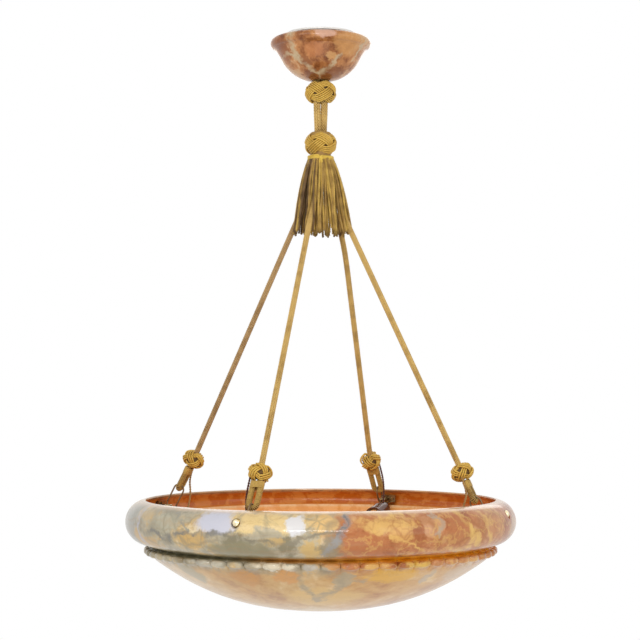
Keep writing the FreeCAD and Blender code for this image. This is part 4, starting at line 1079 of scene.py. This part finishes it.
# Veins: their (bearing, height) places, width in millimetres and colour.
BOWL_VEINS = [
    ([(-64, 22), (-63, 2), (-61, -18)], 5.0, (0.46, 0.44, 0.48)),
    ([(-80, 12), (-72, -4), (-66, -19)], 3.4, (0.26, 0.245, 0.20)),
    ([(-55, -2), (-47, -7), (-38, 2), (-33, -3), (-26, 1), (-23, 12), (-22, 22)], 4.4, (0.20, 0.19, 0.165)),
    ([(-45, 22), (-42, 12), (-38, 4)], 3.0, (0.32, 0.30, 0.24)),
    ([(-20, -5), (-11, -9), (-3, 1), (3, 4)], 3.2, (0.25, 0.21, 0.14)),
    ([(-26, 0), (-20, -5), (-12, -8)], 3.4, (0.24, 0.21, 0.14)),
    ([(8, 24), (7, 13), (6, 2), (3, -8), (1, -17)], 6.0, (0.30, 0.29, 0.28)),
    ([(8, 24), (7, 12), (5, 1)], 2.4, (0.17, 0.165, 0.16)),
    ([(18, -2), (24, -8), (29, -16)], 3.0, (0.72, 0.42, 0.12)),
    ([(33, 22), (35, 10), (33, 0)], 4.0, (0.46, 0.34, 0.24)),
    ([(42, 23), (44, 10), (47, -3), (51, -18)], 6.0, (0.76, 0.48, 0.13)),
    ([(52, 14), (54, 0), (57, -14)], 5.2, (0.74, 0.45, 0.13)),
    ([(25, 21), (28, 8), (27, -4), (31, -14)], 2.6, (0.40, 0.13, 0.04)),
    ([(-6, -40), (-7, -50), (-6, -60), (-2, -76), (4, -68), (7, -56), (6, -42)], 6.5, (0.38, 0.29, 0.17)),
    ([(7, -42), (11, -50), (15, -55)], 4.6, (0.40, 0.31, 0.19)),
    ([(96, 20), (104, 2), (99, -16)], 5.0, (0.38, 0.34, 0.28)),
    ([(140, 22), (150, 6), (146, -12), (152, -22)], 5.0, (0.74, 0.49, 0.18)),
    ([(-110, 22), (-118, 4), (-112, -18)], 5.0, (0.33, 0.31, 0.27)),
    ([(-150, 18), (-158, 0), (-150, -20)], 4.4, (0.26, 0.23, 0.17)),
]
# Nets of fine veins: the size of their meshes in metres, the veins' width as a share of it, and strength.
VEIN_NETS = [(0.052, 0.10, 0.75), (0.024, 0.09, 0.5), (0.011, 0.08, 0.3)]
NET_TINTS = ((0.27, 0.24, 0.165), (0.40, 0.14, 0.045))
FLAME_YELLOW = (0.76, 0.47, 0.13)
LATHE_SHADE = (0.42, 0.22, 0.08)
# Where each zone starts and where it is full, in metres: x, height above the rim's centre, or radius.
WARM_ZONE_X = (0.022, 0.048)
WARM_VEINS_X = (0.0, 0.05)
LOW_ZONE_HEIGHT = (-0.034, -0.048)
NETS_HEIGHT = (-0.052, -0.038)
FLAMES_HEIGHT = (-0.052, -0.04)
GROOVE_SHADE_X = (-0.11, -0.03)
GROOVE_GLOW_X = (-0.01, 0.09)
GROOVE_TOP = (-0.0235, -0.0265)
GROOVE_FOOT = (-0.0315, -0.0295)
GROOVE_RADIUS = (0.2115, 0.2095)
CREST_HIGHLIGHT_HEIGHT = (0.0205, 0.0245)
GUTTER_RADIUS = (0.219, 0.216)
GUTTER_FOOT = (0.0, 0.002)
GUTTER_TOP = (0.0225, 0.0195)
WALL_RADIUS = (0.1965, 0.195)
WALL_FOOT = (-0.040, -0.036)
WALL_TOP = (0.002, 0.0)
GUTTER_SHADE_HEIGHT = (0.001, 0.007)
GUTTER_SHADE_RADIUS = (0.195, 0.198)
LIP_RADIUS = (0.1985, 0.1965)
LIP_HEIGHT = (0.0015, 0.004)
GUTTER_SHADED_GLOW = (0.52, 0.125, 0.008)
INSIDE_GLOW = (0.88, 0.45, 0.15)
LIP_HIGHLIGHT = (0.86, 0.58, 0.30)
CREST_HIGHLIGHT = (0.66, 0.46, 0.29)


def bowl_alabaster():
    """Polished alabaster; the shallow bowl is plainer than the rim. Light is painted in: an orange glow
    inside, shade in the gutter and the groove, and highlights on the lip and the crest.
    """
    stone = Coating("bowl_alabaster", Coat_Weight=0.5, Coat_Roughness=0.07, Specular_IOR_Level=0.1)
    cool, bent, fine = marbled(stone, 0.055, COOL_STONES)
    warm = marbled(stone, 0.050, WARM_STONES)[0]
    low = marbled(stone, 0.070, LOW_STONES)[0]
    x, y, z = [stone.node("SeparateXYZ", None, {0: stone.place}, output=axis) for axis in range(3)]
    height = z + CEILING_TO_RIM
    radius = stone.node("Math", {"operation": "SQRT"}, {0: x * x + y * y})
    colour = stone.blend(stone.step(x + 0.05 * fine, *WARM_ZONE_X), cool, warm)
    colour = stone.blend(0.85 * stone.step(height, *LOW_ZONE_HEIGHT), colour, low)
    flat = unrolled(stone, BOWL_GIRTH, 1.6 * MM)
    for *where, tint in BOWL_CLOUDS:
        colour = stone.blend(0.85 * cloud_at(stone, flat, BOWL_GIRTH, *where), colour, tint)
    warm_share = stone.step(x, *WARM_VEINS_X)
    for size, width, strength in VEIN_NETS:
        meshes = {"Vector": bent, "Scale": 1 / size}
        cracks = stone.node("TexVoronoi", {"feature": "DISTANCE_TO_EDGE"}, meshes)
        open_cracks = stone.step(stone.noise(stone.place, 0.5 / size, 3), 0.44, 0.58)
        net = strength * stone.step(cracks, width, 0.0) * open_cracks
        tint = stone.blend(warm_share, *NET_TINTS)
        colour = stone.blend(net * stone.step(height, *NETS_HEIGHT), colour, tint)
    ridge = stone.noise(bent, 26, 5, 0.6)
    flame = stone.step(ridge, 0.50, 0.525) * stone.step(ridge, 0.56, 0.53)
    flame = 0.38 * flame * warm_share * stone.step(height, *FLAMES_HEIGHT)
    colour = stone.blend(flame, colour, FLAME_YELLOW)
    turned = stone.vector("MULTIPLY", flat, (9, 330, 0))
    colour = stone.blend(0.22 * stone.step(stone.noise(turned, 1.0, 4, 0.6), 0.47, 0.62), colour, LATHE_SHADE)
    for *where, tint in BOWL_PATCHES:
        colour = stone.blend(0.95 * cloud_at(stone, flat, BOWL_GIRTH, *where), colour, tint)
    for route, width, tint in BOWL_VEINS:
        colour = stone.blend(0.85 * vein_along(stone, flat, BOWL_GIRTH, route, width), colour, tint)
    # Painted light in the groove under the rim: dark brown painted shade on the left, turning to an orange
    # painted glow of light through the stone on the right.
    groove_shade_and_glow = stone.blend(stone.step(x, *GROOVE_SHADE_X), (0.18, 0.16, 0.085), (0.50, 0.22, 0.025))
    groove_shade_and_glow = stone.blend(stone.step(x, *GROOVE_GLOW_X), groove_shade_and_glow, (0.82, 0.36, 0.012))
    groove_light_share = stone.step(height, *GROOVE_TOP) * stone.step(height, *GROOVE_FOOT)
    colour = stone.blend(0.9 * groove_light_share * stone.step(radius, *GROOVE_RADIUS), colour, groove_shade_and_glow)
    # Painted highlight: the top of the rim's crest is paler.
    colour = stone.blend(0.65 * stone.step(height, *CREST_HIGHLIGHT_HEIGHT), colour, CREST_HIGHLIGHT)
    # Painted light inside: the orange is a painted glow of light through the stone, darker in the gutter as
    # painted shade.
    normal = stone.node("TexCoord", output="Normal")
    rising = stone.node("SeparateXYZ", None, {0: normal}, output=2)
    gutter = stone.step(radius, *GUTTER_RADIUS) * stone.step(height, *GUTTER_FOOT)
    gutter = gutter * stone.step(height, *GUTTER_TOP)
    wall = stone.step(radius, *WALL_RADIUS) * stone.step(height, *WALL_FOOT) * stone.step(height, *WALL_TOP)
    bottom = stone.step(height, *WALL_FOOT[::-1]) * stone.step(rising, 0.0, 0.2)
    gutter_shade = stone.step(height, *GUTTER_SHADE_HEIGHT) * stone.step(radius, *GUTTER_SHADE_RADIUS)
    glow = stone.blend(gutter_shade, INSIDE_GLOW, GUTTER_SHADED_GLOW)
    # Painted highlight: a pale line along the lip's edge.
    lip_highlight = stone.step(radius, *LIP_RADIUS) * stone.step(height, *LIP_HEIGHT)
    glow = stone.blend(lip_highlight, glow, LIP_HIGHLIGHT)
    glow = stone.blend(0.55 * stone.step(fine, 0.46, 0.58), glow, (0.74, 0.30, 0.06))
    inside = stone.node("Math", {"operation": "MINIMUM"}, {0: gutter + wall + bottom, 1: 1.0})
    colour = stone.blend(inside, colour, glow)
    return stone.paint(colour, 0.36 - 0.12 * fine, fine, 0.00012)


bowl = spun("carved_bowl", [(r, rim(h)) for r, h in bowl_outline], BEAD_COUNT * BEAD_STEPS, bowl_alabaster())
bead_pitch = 2 * math.pi / BEAD_COUNT
bead_height = rim(BEAD_CENTRE[1])
for vertex in bowl.data.vertices:
    radius = vertex.co.xy.length
    height = vertex.co.z
    bead, share = divmod(math.atan2(vertex.co.y, vertex.co.x) % (2 * math.pi) / bead_pitch, 1)
    along = math.sin(math.pi / 2 * (2 * share - 1))
    if math.hypot(radius - BEAD_CENTRE[0], height - bead_height) < 1.01 * BEAD_SECTION_R:
        fullness = max(0.0, 1 - abs(along) ** BEAD_FULLNESS) ** (1 / BEAD_FULLNESS)
        radius = BEAD_FOOT_R + (radius - BEAD_FOOT_R) * fullness
        height = bead_height + (height - bead_height) * (0.15 + 0.85 * fullness)
    if radius > MM:
        vertex.co = at_turn(radius, (bead + (along + 1) / 2) * bead_pitch, height)

drill = []
drill_outline = [
    (0, INNER_SEAT_R - SPOT_FACE_REACH / 2), (SPOT_FACE_R, INNER_SEAT_R - SPOT_FACE_REACH / 2),
    (SPOT_FACE_R, INNER_SEAT_R), (BOLT_HOLE_R, INNER_SEAT_R), (BOLT_HOLE_R, OUTER_SEAT_R),
    (SPOT_FACE_R, OUTER_SEAT_R), (SPOT_FACE_R, OUTER_SEAT_R + SPOT_FACE_REACH),
    (0, OUTER_SEAT_R + SPOT_FACE_REACH),
]
for side, rope in ROPES.items():
    bit = spun("drill_" + side, drill_outline, 32, bowl.data.materials[0])
    outwards = Vector((math.cos(math.radians(rope["bearing"])), math.sin(math.radians(rope["bearing"])), 0))
    turned = UP.rotation_difference(outwards).to_matrix().to_4x4()
    bit.data.transform(Matrix.Translation((0, 0, rim(EYE_HOLD[2]))) @ turned)
    drill.append(bit)
drill = join(drill)
holes = bowl.modifiers.new("bolt_holes", "BOOLEAN")
holes.object = drill
holes.solver = "MANIFOLD"
bpy.ops.object.select_all(action="DESELECT")
bowl.select_set(True)
bpy.context.view_layer.objects.active = bowl
bpy.ops.object.modifier_apply(modifier=holes.name)
bpy.data.objects.remove(drill)
bpy.ops.object.shade_smooth_by_angle(angle=math.radians(38))
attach(bowl, "pendant")
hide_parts("alabaster_bowl")
